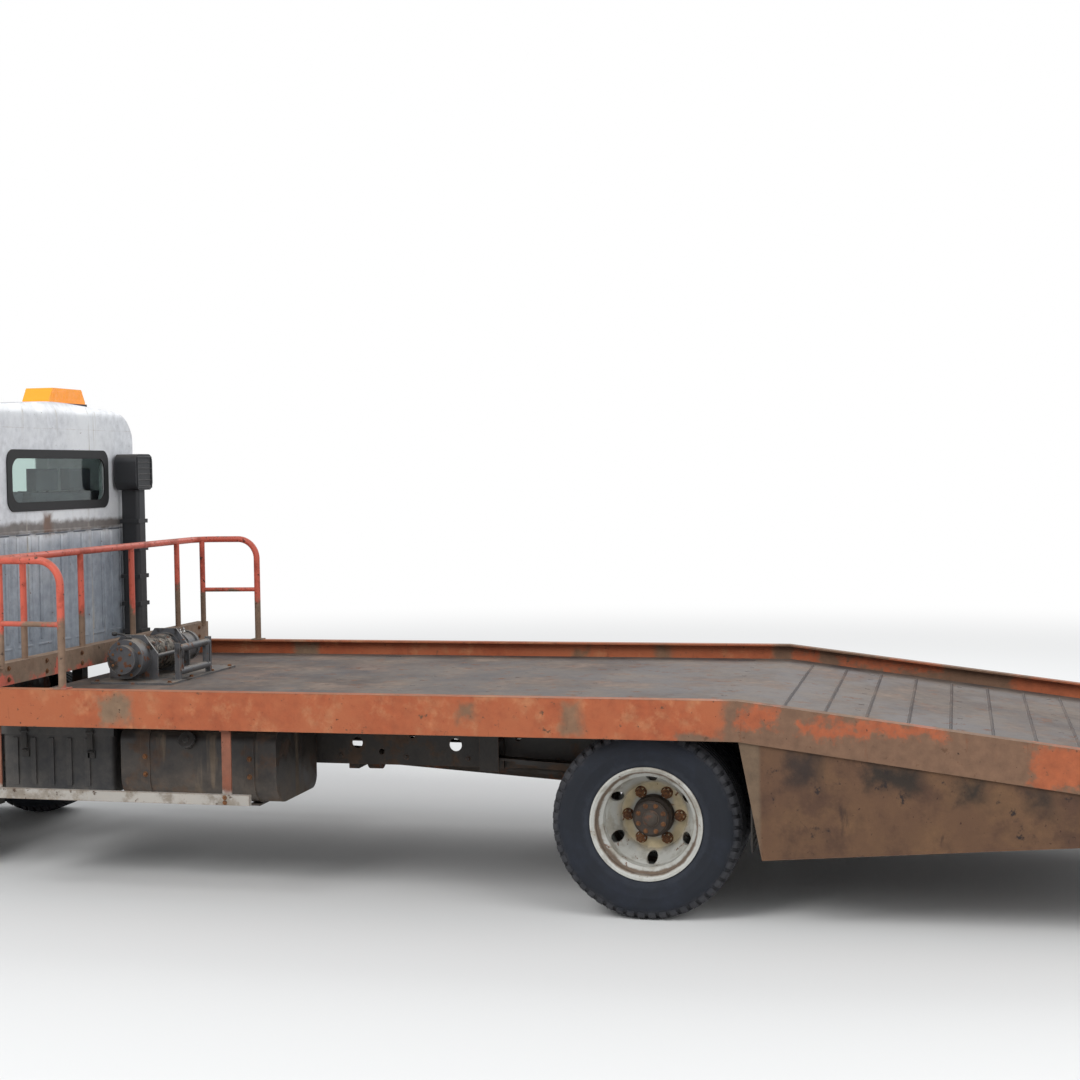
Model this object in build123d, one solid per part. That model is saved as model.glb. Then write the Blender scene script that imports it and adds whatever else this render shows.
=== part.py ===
# Flatbed tow truck on a light cab-over chassis, full size, in millimetres.
# +X runs rearwards, -Y is the truck's left side, +Z is up.
# The origin is on the ground, in the middle of the truck's length and width.
import os
from math import atan, cos, degrees, hypot, radians, sin

from build123d import *

os.makedirs("parts", exist_ok=True)

# Overall
OVERALL_LENGTH = 7520
FRONT_X = -OVERALL_LENGTH / 2
TAIL_X = OVERALL_LENGTH / 2
CAB_FRONT_X = FRONT_X + 60
CAB_LENGTH = 1570
CAB_BACK_X = CAB_FRONT_X + CAB_LENGTH
AXLE_SETBACK = 1020     # from the cab's front to the front axle
WHEELBASE = 3750
FRONT_AXLE_X = CAB_FRONT_X + AXLE_SETBACK
REAR_AXLE_X = FRONT_AXLE_X + WHEELBASE
SEAT_GAP = 0.3          # between faces that rest on one another
RUN_GAP = 0.05          # radial, a shaft in its bore

# Platform
PLATFORM_WIDTH = 2300
PLATFORM_FRONT_X = CAB_BACK_X + 180
RAIL_TOP = 930
RAIL_HEIGHT = 165
TAIL_RAIL_HEIGHT = 178
RAIL_FLANGE = 62
RAIL_WALL = 8
BEND_X = REAR_AXLE_X + 396
TAIL_DROP = 289.8       # from the bend to the tail's end
TAIL_SLOPE = TAIL_DROP / (TAIL_X - BEND_X)
TAIL_ANGLE = degrees(atan(TAIL_SLOPE))
DECK_BELOW_RAIL = 80
DECK_THICKNESS = 4
BEARER_WIDTH = 40
BEARER_WALL = 5
TAIL_BEARER_HEIGHT = 55
STRINGER_HEIGHT = 40
RAIL_OUT_Y = PLATFORM_WIDTH / 2
RAIL_IN_Y = RAIL_OUT_Y - RAIL_WALL
FLANGE_IN_Y = RAIL_OUT_Y - RAIL_FLANGE
DECK_TOP = RAIL_TOP - DECK_BELOW_RAIL
DECK_UNDER = DECK_TOP - DECK_THICKNESS
RAIL_BOTTOM = RAIL_TOP - RAIL_HEIGHT

# Tail side panels
PANEL_WALL = 6
PANEL_INSET = 12
PANEL_LIP = 32
PANEL_FOOT_X = BEND_X + 91
PANEL_FOOT_Z = 285
PANEL_KNEE_X = TAIL_X - 798
PANEL_KNEE_Z = 395
PANEL_TIP_Z = RAIL_TOP - TAIL_RAIL_HEIGHT - TAIL_DROP - 7.2
REAR_PLATE_X = TAIL_X - 32
REAR_PLATE_WALL = 8

# Ramps, stored lying in the tail
RAMP_Y = 730
RAMP_WIDTH = 360
RAMP_BAR = 45
RAMP_HEIGHT = 70
RAMP_FRONT_X = BEND_X + 324
RAMP_LENGTH = TAIL_X - 40 - RAMP_FRONT_X
RAMP_RUNGS = 11
RAMP_RUNG_R = 15
RAMP_REST_Z = 470

# Chassis frame
FRAME_OUT_Y = 375
FRAME_TOP = 700
FRAME_HEIGHT = 200
FRAME_FLANGE = 65
FRAME_WALL = 7
FRAME_FRONT_X = FRONT_X + 200
FRAME_REAR_X = REAR_AXLE_X + 990
FRAME_BOTTOM = FRAME_TOP - FRAME_HEIGHT
RUNNER_WIDTH = 60

# Wheels and axles
TYRE_R = 399
TYRE_WIDTH = 228
RIM_R = 222
RIM_HALF_WIDTH = 95
RIM_WALL = 7
FLANGE_R = 237.5
DISC_WALL = 12
DISC_OFFSET = 125
NUT_CIRCLE_R = 111.1
NUT_COUNT = 6
NUT_ACROSS = 36
NUT_HEIGHT = 24
HAND_HOLE_R = 23
HAND_HOLE_CIRCLE_R = 171
FRONT_TYRE_Y = 730
REAR_OUTER_TYRE_Y = 958
KINGPIN_Y = 620
KINGPIN_R = 18
SPINDLE_R = 30
AXLE_END_R = 38
DRUM_R = 165
DRUM_WALL = 15
REAR_INNER_TYRE_Y = REAR_OUTER_TYRE_Y - 2 * DISC_OFFSET - DISC_WALL
DISC_FACE_Y = REAR_OUTER_TYRE_Y - DISC_OFFSET
AXLE_Z = TYRE_R

# Steering linkage
STEER_ARM_LENGTH = 190
STEER_ARM_Y = 555
STEER_ARM_Z = AXLE_Z - 72
TIE_ROD_R = 16
TIE_ROD_BELOW = 46
STUD_R = 9

# Springs
REAR_SPRING_Y = 435
FRONT_SPRING_Y = 335
SPRING_LEAF = 11
REAR_SPRING_WIDTH = 70
FRONT_SPRING_WIDTH = 60
EYE_R = 20
EYE_SIDE = 6            # from the eye to the hanger's cheek
AXLE_TUBE_R = 56
BEAM_HALF = 36
FRONT_BEAM_DROP = 62

# Cab
CAB_HALF_WIDTH = 860
CAB_SHOULDER_Y = 828
CAB_SHOULDER_Z = 2205
CAB_ROOF_Z = 2258
BELT_Z = 1420
CAB_WALL = 40
PANEL_BOTTOM_Z = 620
SIDE_BOTTOM_Z = 480
BACK_BOTTOM_Z = 900
ARCH_R = 520
SCREEN_FOOT_Z = 1370
SCREEN_RAKE = 0.375      # run back per rise
ROOF_SPLIT_Z = 2112
DOOR_GAP = 9
DOOR_FRONT_X = CAB_FRONT_X + 145
DOOR_REAR_X = CAB_FRONT_X + 1055
DOOR_BOTTOM_Z = 640
DOOR_TOP_Z = 2084
FLOOR_WALL = 20
FOOTWELL_Z = 740
RISER_X = CAB_FRONT_X + 510
RISER_Z = 1030
GLASS_WALL = 5
GLASS_DEPTH = 14
TILT_X = CAB_FRONT_X + 60
TILT_Z = 560
TILT_TUBE_R = 22
HINGE_Y = 872
HINGE_X = DOOR_FRONT_X - 5
HINGE_R = 9
HINGE_PIN_R = 4

# Rear window
REAR_WINDOW_WIDTH = 1030
REAR_WINDOW_LOW_Z = 1700
REAR_WINDOW_HIGH_Z = 2005
WINDOW_CORNER_R = 60
SEAL_WIDTH = 28
SEAL_PROUD = 7

# Headboard
HOOP_R = 17
POST_R = 15
HOOP_TOP_Z = 1500
HOOP_BACK_X = PLATFORM_FRONT_X + 420
HOOP_FRONT_X = PLATFORM_FRONT_X + 70
HOOP_Y = RAIL_OUT_Y - 35
HOOP_BEND_R = 110
BEAM_HEIGHT = 100
BEAM_DEPTH = 64

# Winch
WINCH_X = PLATFORM_FRONT_X + 300
WINCH_PLATE_Y = 176
WINCH_PLATE_WALL = 12
WINCH_SHAFT_R = 20
WINCH_TIE_X = 112
DRUM_CENTRE_Z = DECK_TOP + 118


# Helpers
def block(x0, x1, y0, y1, z0, z1):
    return Pos((x0 + x1) / 2, (y0 + y1) / 2, (z0 + z1) / 2) * Box(x1 - x0, y1 - y0, z1 - z0)


def outline(points, radius=0):
    """Closed flat face through points, its corners rounded by one radius or a list."""
    if radius == 0:
        return make_face(Polyline(*points, close=True))
    return make_face(FilletPolyline(*points, radius=radius, close=True))


def side_prism(face, y0, y1):
    """A face drawn as (x, z), between two widths."""
    return Pos(0, y1, 0) * (Plane.XZ * extrude(face, amount=y1 - y0))


def front_prism(face, x0, x1):
    """A face drawn as (y, z), between two lengths."""
    return Pos(x0, 0, 0) * (Plane.YZ * extrude(face, amount=x1 - x0))


def plan_prism(face, z0, z1):
    """A face drawn as (x, y), between two heights."""
    return Pos(0, 0, z0) * extrude(face, amount=z1 - z0)


def rod(start, end, r):
    axis = Vector(*end) - Vector(*start)
    return extrude(Plane(origin=start, z_dir=axis) * Circle(r), amount=axis.length)


def tube_run(points, r, bends):
    """A round bar along straight runs with tangent bends."""
    path = FilletPolyline(*points, radius=bends)
    start = Plane(origin=path @ 0, z_dir=path % 0)
    return sweep(start * Circle(r), path=path)


def lathe(points, y_sign=1):
    """Turns (radius, along) points about the Y axis; along runs to +Y, or -Y."""
    face = outline([(r, y_sign * along) for r, along in points])
    return revolve(face, axis=Axis.Y)


def joined(pieces):
    whole = pieces[0]
    for piece in pieces[1:]:
        whole = whole + piece
    return whole


def both_sides(piece):
    return [piece, mirror(piece, about=Plane.XZ)]


def tail_drop(x):
    """How far the bent tail has fallen below the level platform at x."""
    return max(0, x - BEND_X) * TAIL_SLOPE


def bent_strip(z_top, z_top_end, thick, thick_end, x0, x1, y0, y1):
    """A strip that is level to the bend and then falls with the tail."""
    points = [
        (x0, z_top),
        (BEND_X, z_top),
        (x1, z_top_end - tail_drop(x1)),
        (x1, z_top_end - thick_end - tail_drop(x1)),
        (BEND_X, z_top - thick),
        (x0, z_top - thick),
    ]
    return side_prism(outline(points), y0, y1)


def save(name, pieces):
    shape = Compound(children=list(pieces)) if len(pieces) > 1 else pieces[0]
    export_step(shape, f"parts/{name}.step")


def hex_ring(count, circle_r, across, y0, y1, turn=0):
    """Hexagon nuts on a circle about the Y axis."""
    nut = RegularPolygon(across / 2, 6, major_radius=False)
    angles = [radians(turn + 360 * i / count) for i in range(count)]
    return [side_prism(Pos(circle_r * cos(a), circle_r * sin(a)) * nut, y0, y1) for a in angles]


# Platform
def side_rail():
    """The left channel, open inwards, with its tail bent down."""
    tail_extra = TAIL_RAIL_HEIGHT - RAIL_HEIGHT
    web = bent_strip(
        RAIL_TOP, RAIL_TOP, RAIL_HEIGHT, TAIL_RAIL_HEIGHT,
        PLATFORM_FRONT_X, TAIL_X, -RAIL_OUT_Y, -RAIL_IN_Y,
    )
    top = bent_strip(
        RAIL_TOP, RAIL_TOP, RAIL_WALL, RAIL_WALL,
        PLATFORM_FRONT_X, TAIL_X, -RAIL_OUT_Y, -FLANGE_IN_Y,
    )
    foot_z = RAIL_BOTTOM + RAIL_WALL
    foot = bent_strip(
        foot_z, foot_z - tail_extra, RAIL_WALL, RAIL_WALL,
        PLATFORM_FRONT_X, TAIL_X, -RAIL_OUT_Y, -FLANGE_IN_Y,
    )
    return joined([web, top, foot])


# Cross bearers under the level deck; the space over the rear tyres has none.
BEARER_START_X = PLATFORM_FRONT_X + 450
BEARER_PITCH = (REAR_AXLE_X - 420 - BEARER_START_X) / 5
BEARER_XS = [BEARER_START_X + i * BEARER_PITCH for i in range(6)] + [REAR_AXLE_X + 240]
TAIL_BEARER_PITCH = (TAIL_X - BEND_X - 1004) / 3
TAIL_BEARER_XS = [BEND_X + 434 + i * TAIL_BEARER_PITCH for i in range(4)]
# Slots for straps: the bearer each one follows, and how far behind it.
TIE_SLOTS = [(0, 200), (1, 370), (3, 110), (4, 280), (6, -60)]
TREAD_BAR_COUNT = 12
TREAD_BAR_PITCH = (TAIL_X - BEND_X - 369) / (TREAD_BAR_COUNT - 1)
TREAD_BAR_SIZE = 12


def deck_plate():
    plate = bent_strip(
        DECK_TOP, DECK_TOP, DECK_THICKNESS, DECK_THICKNESS,
        PLATFORM_FRONT_X, TAIL_X, -RAIL_IN_Y + SEAT_GAP, RAIL_IN_Y - SEAT_GAP,
    )
    slots = []
    for i, behind in TIE_SLOTS:
        x = BEARER_XS[i] + behind
        for side in (-1, 1):
            place = Pos(x, side * (RAIL_OUT_Y - 115))
            slots.append(plan_prism(place * SlotOverall(90, 26), DECK_TOP - 20, DECK_TOP + 20))
    plate = plate - slots
    bars = []
    for i in range(TREAD_BAR_COUNT):
        x = BEND_X + 130 + i * TREAD_BAR_PITCH
        bar = Box(TREAD_BAR_SIZE, 2 * RAIL_OUT_Y - 340, TREAD_BAR_SIZE)
        place = Pos(x, 0, DECK_TOP - tail_drop(x)) * Rot(0, TAIL_ANGLE + 45, 0)
        bars.append(place * bar)
    return joined([plate] + bars)


def bearer(height):
    """A channel across the platform, its top at z = 0."""
    half = FLANGE_IN_Y - SEAT_GAP
    web = block(0, BEARER_WALL, -half, half, -height, 0)
    top = block(0, BEARER_WIDTH, -half, half, -BEARER_WALL, 0)
    foot = block(0, BEARER_WIDTH, -half, half, -height, -height + BEARER_WALL)
    return joined([web, top, foot])


def platform_bearers():
    """Bearers across the level deck and the tail, with the plates that close both ends."""
    height = DECK_UNDER - RAIL_BOTTOM - SEAT_GAP
    pieces = [Pos(x, 0, DECK_UNDER) * bearer(height) for x in BEARER_XS]
    for x in TAIL_BEARER_XS:
        place = Pos(x, 0, DECK_UNDER - SEAT_GAP - tail_drop(x)) * Rot(0, TAIL_ANGLE, 0)
        pieces.append(place * bearer(TAIL_BEARER_HEIGHT))
    half = FLANGE_IN_Y - SEAT_GAP
    pieces.append(
        block(
            PLATFORM_FRONT_X, PLATFORM_FRONT_X + RAIL_WALL,
            -half, half, RAIL_BOTTOM + SEAT_GAP, DECK_UNDER,
        )
    )
    rear_top = DECK_UNDER - tail_drop(REAR_PLATE_X) - 2
    plate = block(
        REAR_PLATE_X, REAR_PLATE_X + REAR_PLATE_WALL, -half, half, PANEL_TIP_Z + 7, rear_top,
    )
    for side in (-1, 1):
        mouth = RAMP_WIDTH / 2 + 12
        plate = plate - block(
            REAR_PLATE_X - 5, REAR_PLATE_X + 20,
            side * RAMP_Y - mouth, side * RAMP_Y + mouth,
            RAMP_REST_Z - 2, RAMP_REST_Z + RAMP_HEIGHT + 4,
        )
    pieces.append(plate)
    return pieces


def platform_runner():
    """The left runner along the frame, bent down with the tail."""
    bearer_drop = TAIL_BEARER_HEIGHT / cos(radians(TAIL_ANGLE))
    tail_top = DECK_UNDER - bearer_drop - 2 * SEAT_GAP
    tail_start = FRAME_REAR_X + SEAT_GAP
    tail_end = REAR_PLATE_X - SEAT_GAP
    line = [
        (PLATFORM_FRONT_X, FRAME_TOP),
        (tail_start, FRAME_TOP),
        (tail_start, tail_top - STRINGER_HEIGHT - tail_drop(tail_start)),
        (tail_end, tail_top - STRINGER_HEIGHT - tail_drop(tail_end)),
        (tail_end, tail_top - tail_drop(tail_end)),
        (BEND_X + 40, tail_top - tail_drop(BEND_X + 40)),
        (BEND_X, RAIL_BOTTOM),
        (PLATFORM_FRONT_X, RAIL_BOTTOM),
    ]
    return side_prism(outline(line), -FRAME_OUT_Y, -FRAME_OUT_Y + RUNNER_WIDTH)


CROSS_TIE_XS = [RAMP_FRONT_X + 510, TAIL_X - 370]
CROSS_TIE_SIZE = 38


def tail_panels():
    """Side plates that close the tail under the rails, tied across under the ramps."""
    y_out = -RAIL_OUT_Y + PANEL_INSET
    y_in = y_out + PANEL_WALL
    rail_tip_z = RAIL_TOP - TAIL_RAIL_HEIGHT - tail_drop(TAIL_X)
    edge = [
        (BEND_X, RAIL_BOTTOM - SEAT_GAP),
        (PANEL_FOOT_X, PANEL_FOOT_Z),
        (PANEL_KNEE_X, PANEL_KNEE_Z),
        (TAIL_X - 6, PANEL_TIP_Z),
        (TAIL_X - 6, rail_tip_z - SEAT_GAP),
    ]
    plate = side_prism(outline(edge), y_out, y_in)
    wall = PANEL_WALL
    lips = []
    for (x0, z0), (x1, z1) in zip(edge[:3], edge[1:4]):
        run = hypot(x1 - x0, z1 - z0)
        ux, uz = (x1 - x0) / run * wall, (z1 - z0) / run * wall
        a, b = (x0 - ux, z0 - uz), (x1 + ux, z1 + uz)
        strip = [a, b, (b[0] - uz, b[1] + ux), (a[0] - uz, a[1] + ux)]
        lip = side_prism(outline(strip), y_out, y_out + PANEL_LIP)
        lips.append(lip & side_prism(outline(edge), y_out, y_out + PANEL_LIP))
    half = joined([plate] + lips)
    inside = -y_in
    ties = []
    for x in CROSS_TIE_XS:
        top = RAMP_REST_Z - SEAT_GAP
        size = CROSS_TIE_SIZE
        upright = block(x, x + 5, -inside, inside, top - size, top)
        shelf = block(x, x + size, -inside, inside, top - 5, top)
        ties += [upright, shelf]
    return joined(both_sides(half) + ties)


def ramp(y):
    """A ladder ramp: two bars and round rungs."""
    x0, x1 = RAMP_FRONT_X, RAMP_FRONT_X + RAMP_LENGTH
    z0, z1 = RAMP_REST_Z, RAMP_REST_Z + RAMP_HEIGHT
    half = RAMP_WIDTH / 2
    foot = 120
    bar_line = [(x0, z0), (x1 - foot, z0), (x1, z1 - 25), (x1, z1), (x0, z1)]
    bars = [
        side_prism(outline(bar_line), y - half, y - half + RAMP_BAR),
        side_prism(outline(bar_line), y + half - RAMP_BAR, y + half),
    ]
    pitch = (RAMP_LENGTH - 200) / (RAMP_RUNGS - 1)
    for i in range(RAMP_RUNGS):
        x = x0 + 60 + i * pitch
        z = z1 - RAMP_RUNG_R - 4
        bars.append(rod((x, y - half + 10, z), (x, y + half - 10, z), RAMP_RUNG_R))
    return joined(bars)


def headboard():
    hoop_points = [
        (HOOP_BACK_X, -HOOP_Y, RAIL_TOP + SEAT_GAP),
        (HOOP_BACK_X, -HOOP_Y, HOOP_TOP_Z),
        (HOOP_FRONT_X, -HOOP_Y, HOOP_TOP_Z),
        (HOOP_FRONT_X, HOOP_Y, HOOP_TOP_Z),
        (HOOP_BACK_X, HOOP_Y, HOOP_TOP_Z),
        (HOOP_BACK_X, HOOP_Y, RAIL_TOP + SEAT_GAP),
    ]
    pieces = [tube_run(hoop_points, HOOP_R, HOOP_BEND_R)]
    beam_top = RAIL_TOP + SEAT_GAP + BEAM_HEIGHT
    half = BEAM_DEPTH / 2
    pieces.append(
        block(
            HOOP_FRONT_X - half, HOOP_FRONT_X + half,
            -RAIL_OUT_Y + 5, RAIL_OUT_Y - 5, RAIL_TOP + SEAT_GAP, beam_top,
        )
    )
    for y in (-820, -273, 273, 820):
        pieces.append(rod((HOOP_FRONT_X, y, beam_top - 20), (HOOP_FRONT_X, y, HOOP_TOP_Z - 4), POST_R))
    for side in (-1, 1):
        foot = block(
            HOOP_BACK_X - 32, HOOP_BACK_X + 32,
            side * HOOP_Y - 30, side * HOOP_Y + 30, RAIL_TOP + SEAT_GAP, RAIL_TOP + SEAT_GAP + 6,
        )
        brace = rod(
            (HOOP_BACK_X, side * HOOP_Y, 1215),
            (HOOP_FRONT_X + 33, side * (HOOP_Y - 33), 1215), 12,
        )
        corner_post = rod(
            (HOOP_FRONT_X + 33, side * (HOOP_Y - 33), beam_top - 20),
            (HOOP_FRONT_X + 33, side * (HOOP_Y - 33), HOOP_TOP_Z - 4), POST_R,
        )
        pieces += [foot, brace, corner_post]
    return joined(pieces)


# Winch
FAIRLEAD_X = WINCH_X + 235


def winch():
    base_z = DECK_TOP + SEAT_GAP
    plate_top = DRUM_CENTRE_Z + 112
    x0, x1 = WINCH_X - 130, WINCH_X + 130
    pieces = [block(x0 - 30, FAIRLEAD_X + 30, -330, 450, base_z, base_z + 10)]
    cheek = [
        (x0, base_z + 5),
        (x1, base_z + 5),
        (x1, DRUM_CENTRE_Z + 20),
        (WINCH_X + 60, plate_top),
        (WINCH_X - 60, plate_top),
        (x0, DRUM_CENTRE_Z + 20),
    ]
    for side in (-1, 1):
        y_mid = side * (WINCH_PLATE_Y + WINCH_PLATE_WALL / 2)
        y0, y1 = y_mid - WINCH_PLATE_WALL / 2, y_mid + WINCH_PLATE_WALL / 2
        plate = side_prism(outline(cheek), y0, y1)
        bore = rod(
            (WINCH_X, y0 - 1, DRUM_CENTRE_Z), (WINCH_X, y1 + 1, DRUM_CENTRE_Z),
            WINCH_SHAFT_R + RUN_GAP,
        )
        pieces.append(plate - bore)
    for dx in (-WINCH_TIE_X, WINCH_TIE_X):
        tie = rod(
            (WINCH_X + dx, -WINCH_PLATE_Y - 2, DRUM_CENTRE_Z + 6),
            (WINCH_X + dx, WINCH_PLATE_Y + 2, DRUM_CENTRE_Z + 6), 10,
        )
        pieces.append(tie)
    cover_y = WINCH_PLATE_Y + WINCH_PLATE_WALL
    gearbox = joined(
        [
            rod((WINCH_X, -cover_y, DRUM_CENTRE_Z), (WINCH_X, -cover_y - 90, DRUM_CENTRE_Z), 96),
            rod(
                (WINCH_X, -cover_y - 88, DRUM_CENTRE_Z),
                (WINCH_X, -cover_y - 128, DRUM_CENTRE_Z), 70,
            ),
        ]
    )
    motor = rod((WINCH_X, cover_y, DRUM_CENTRE_Z), (WINCH_X, cover_y + 240, DRUM_CENTRE_Z), 72)
    bands = [
        rod((WINCH_X, cover_y + a, DRUM_CENTRE_Z), (WINCH_X, cover_y + b, DRUM_CENTRE_Z), 80)
        for a, b in ((0, 22), (110, 130), (215, 238))
    ]
    socket = rod(
        (WINCH_X, -cover_y + 1, DRUM_CENTRE_Z), (WINCH_X, -cover_y - 14, DRUM_CENTRE_Z),
        WINCH_SHAFT_R + 4,
    )
    pieces.append(gearbox - socket)
    motor_socket = rod(
        (WINCH_X, cover_y - 1, DRUM_CENTRE_Z), (WINCH_X, cover_y + 14, DRUM_CENTRE_Z),
        WINCH_SHAFT_R + 4,
    )
    pieces.append(joined([motor] + bands) - motor_socket)
    for side in (-1, 1):
        post = block(
            FAIRLEAD_X - 14, FAIRLEAD_X + 14, side * 178 - 10, side * 178 + 10,
            base_z + 5, base_z + 190,
        )
        roller = rod((FAIRLEAD_X, side * 148, base_z + 40), (FAIRLEAD_X, side * 148, base_z + 170), 16)
        pieces += [post, roller]
    for z in (base_z + 48, base_z + 162):
        pieces.append(rod((FAIRLEAD_X, -172, z), (FAIRLEAD_X, 172, z), 18))
    return joined(pieces)


ROPE_GROOVES = 12


def winch_drum():
    """Drum, flanges and shaft, wound with rope in ridged turns."""
    half = WINCH_PLATE_Y - 6
    flange = 10
    wound = half - flange
    pitch = 2 * wound / ROPE_GROOVES
    points = [(0, -half - 14), (WINCH_SHAFT_R, -half - 14), (WINCH_SHAFT_R, -half), (92, -half)]
    points += [(92, -wound), (70, -wound)]
    for i in range(ROPE_GROOVES):
        points.append((78, -wound + (i + 0.5) * pitch))
        points.append((70, -wound + (i + 1) * pitch))
    points += [(92, wound), (92, half), (WINCH_SHAFT_R, half), (WINCH_SHAFT_R, half + 14)]
    points += [(0, half + 14)]
    return Pos(WINCH_X, 0, DRUM_CENTRE_Z) * lathe(points)


# Chassis frame
# Holes in the channels' webs: x, z, radius; the first table runs from the frame's front,
# the second from the rear axle.
FRONT_WEB_HOLES = [
    (2310, 640, 22), (2560, 560, 18), (3140, 600, 26), (3260, 560, 14), (3410, 640, 14),
]
REAR_WEB_HOLES = [
    (-1010, 600, 30), (-710, 640, 16), (-310, 600, 26), (250, 600, 26), (490, 560, 18),
    (730, 600, 30),
]
CROSS_MEMBER_XS = [FRAME_FRONT_X + 70, WINCH_X, CAB_BACK_X + 1130]
CROSS_MEMBER_XS += [REAR_AXLE_X + x for x in (-1170, -510, 410, 940)]
HINGE_ARM_Y = 351
TOW_EYE_R = 21
TOW_EYE_WALL = 22


def frame_channel():
    """The left main channel, open inwards."""
    y0, y1 = -FRAME_OUT_Y, -FRAME_OUT_Y + FRAME_FLANGE
    x0, x1 = FRAME_FRONT_X, FRAME_REAR_X
    web = block(x0, x1, y0, y0 + FRAME_WALL, FRAME_BOTTOM, FRAME_TOP)
    table = [(x0 + x, z, r) for x, z, r in FRONT_WEB_HOLES]
    table += [(REAR_AXLE_X + x, z, r) for x, z, r in REAR_WEB_HOLES]
    holes = [rod((x, y0 - 1, z), (x, y0 + FRAME_WALL + 1, z), r) for x, z, r in table]
    top = block(x0, x1, y0, y1, FRAME_TOP - FRAME_WALL, FRAME_TOP)
    foot = block(x0, x1, y0, y1, FRAME_BOTTOM, FRAME_BOTTOM + FRAME_WALL)
    return joined([web - holes, top, foot])


def front_bracket():
    """The left bracket that carries the tilt tube, the bumper and a tow eye."""
    y0 = -HINGE_ARM_Y - TOW_EYE_WALL / 2
    y1 = y0 + TOW_EYE_WALL
    plate = outline(
        [
            (FRAME_FRONT_X + 60, FRAME_BOTTOM - 20),
            (FRAME_FRONT_X + 60, FRAME_TOP - 15),
            (FRAME_FRONT_X - 15, FRAME_TOP - 15),
            (TILT_X + 22, TILT_Z + 38),
            (TILT_X - 20, TILT_Z + 36),
            (FRONT_X + 76, TILT_Z - 30),
            (FRONT_X + 76, 345),
            (FRONT_X + 60, 300),
            (FRONT_X + 40, 262),
            (FRONT_X + 100, 232),
            (FRONT_X + 170, 300),
        ]
    )
    body = side_prism(plate, y0, y1)
    eye = rod((FRONT_X + 96, y0 - 1, 280), (FRONT_X + 96, y1 + 1, 280), TOW_EYE_R)
    return body - eye


# Brackets that hang the springs from the frame: x, lowest z, width along x.
REAR_HANGERS = [(REAR_AXLE_X + x, 500, 90) for x in (-820, 820)]
FRONT_HANGERS = [(FRONT_AXLE_X + x, 440, 80) for x in (-550, 550)]


def frame_rail():
    """The left channel with its front bracket, bored for the tilt tube."""
    bore = rod((TILT_X, -FRAME_OUT_Y, TILT_Z), (TILT_X, 0, TILT_Z), TILT_TUBE_R + SEAT_GAP)
    return joined([frame_channel(), front_bracket()]) - bore


REST_X = (CAB_BACK_X - 130, CAB_BACK_X - 70)
REST_HALF = 560


def cross_members():
    """Members between the channels, the tilt tube and the rest behind the engine."""
    inner = FRAME_OUT_Y - FRAME_WALL - SEAT_GAP
    top = FRAME_TOP - FRAME_WALL - SEAT_GAP
    pieces = [block(x, x + 50, -inner, inner, FRAME_TOP - 90, top) for x in CROSS_MEMBER_XS]
    tube_half = 430
    pieces.append(rod((TILT_X, -tube_half, TILT_Z), (TILT_X, tube_half, TILT_Z), TILT_TUBE_R))
    # The cab's rear rest: two legs, a beam and rubber pads under the seat riser.
    x0, x1 = REST_X
    beam_top = RISER_Z - FLOOR_WALL - 30
    rest = [block(x0, x1, -REST_HALF, REST_HALF, beam_top - 60, beam_top)]
    for side in (-1, 1):
        leg_y = side * (FRAME_OUT_Y - 30)
        rest.append(block(x0, x1, leg_y - 30, leg_y + 30, FRAME_TOP + SEAT_GAP, beam_top))
        pad_top = RISER_Z - FLOOR_WALL - SEAT_GAP
        rest.append(block(x0 - 2, x1 + 2, leg_y - 40, leg_y + 40, beam_top - 1, pad_top))
    return pieces + [joined(rest)]


def spring_hangers():
    pieces = []
    for x, low, width in REAR_HANGERS:
        for side in (-1, 1):
            low_y, high_y = sorted((side * (FRAME_OUT_Y + SEAT_GAP), side * (REAR_SPRING_Y + 52)))
            hanger = block(x - width / 2, x + width / 2, low_y, high_y, low, FRAME_TOP - 40)
            cheek = REAR_SPRING_WIDTH / 2 + EYE_SIDE
            slot_y = sorted((side * (REAR_SPRING_Y - cheek), side * (REAR_SPRING_Y + cheek)))
            slot = block(x - width, x + width, slot_y[0], slot_y[1], low - 1, FRAME_TOP - 65)
            pieces.append(hanger - slot)
    for x, low, width in FRONT_HANGERS:
        for side in (-1, 1):
            cheek = FRONT_SPRING_WIDTH / 2 + EYE_SIDE
            y0, y1 = side * FRONT_SPRING_Y - cheek, side * FRONT_SPRING_Y + cheek
            top = FRAME_BOTTOM - SEAT_GAP
            hanger = block(x - width / 2, x + width / 2, y0 - 5, y1 + 5, low, top)
            slot = block(x - width, x + width, y0, y1, low - 1, FRAME_BOTTOM - 3)
            pieces.append(hanger - slot)
    return pieces


def side_brackets():
    """Brackets that carry the tank, the boxes, the air tank and the exhaust."""
    pieces = []
    for x, side, reach, low in SIDE_BRACKETS:
        root = FRAME_OUT_Y + SEAT_GAP
        y0, y1 = sorted((side * root, side * (FRAME_OUT_Y + 14)))
        post = block(x - 25, x + 25, y0, y1, low - 4, FRAME_TOP - 20)
        y0, y1 = sorted((side * root, side * reach))
        pieces.append(joined([post, block(x - 25, x + 25, y0, y1, low - 8, low)]))
    return pieces


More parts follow.
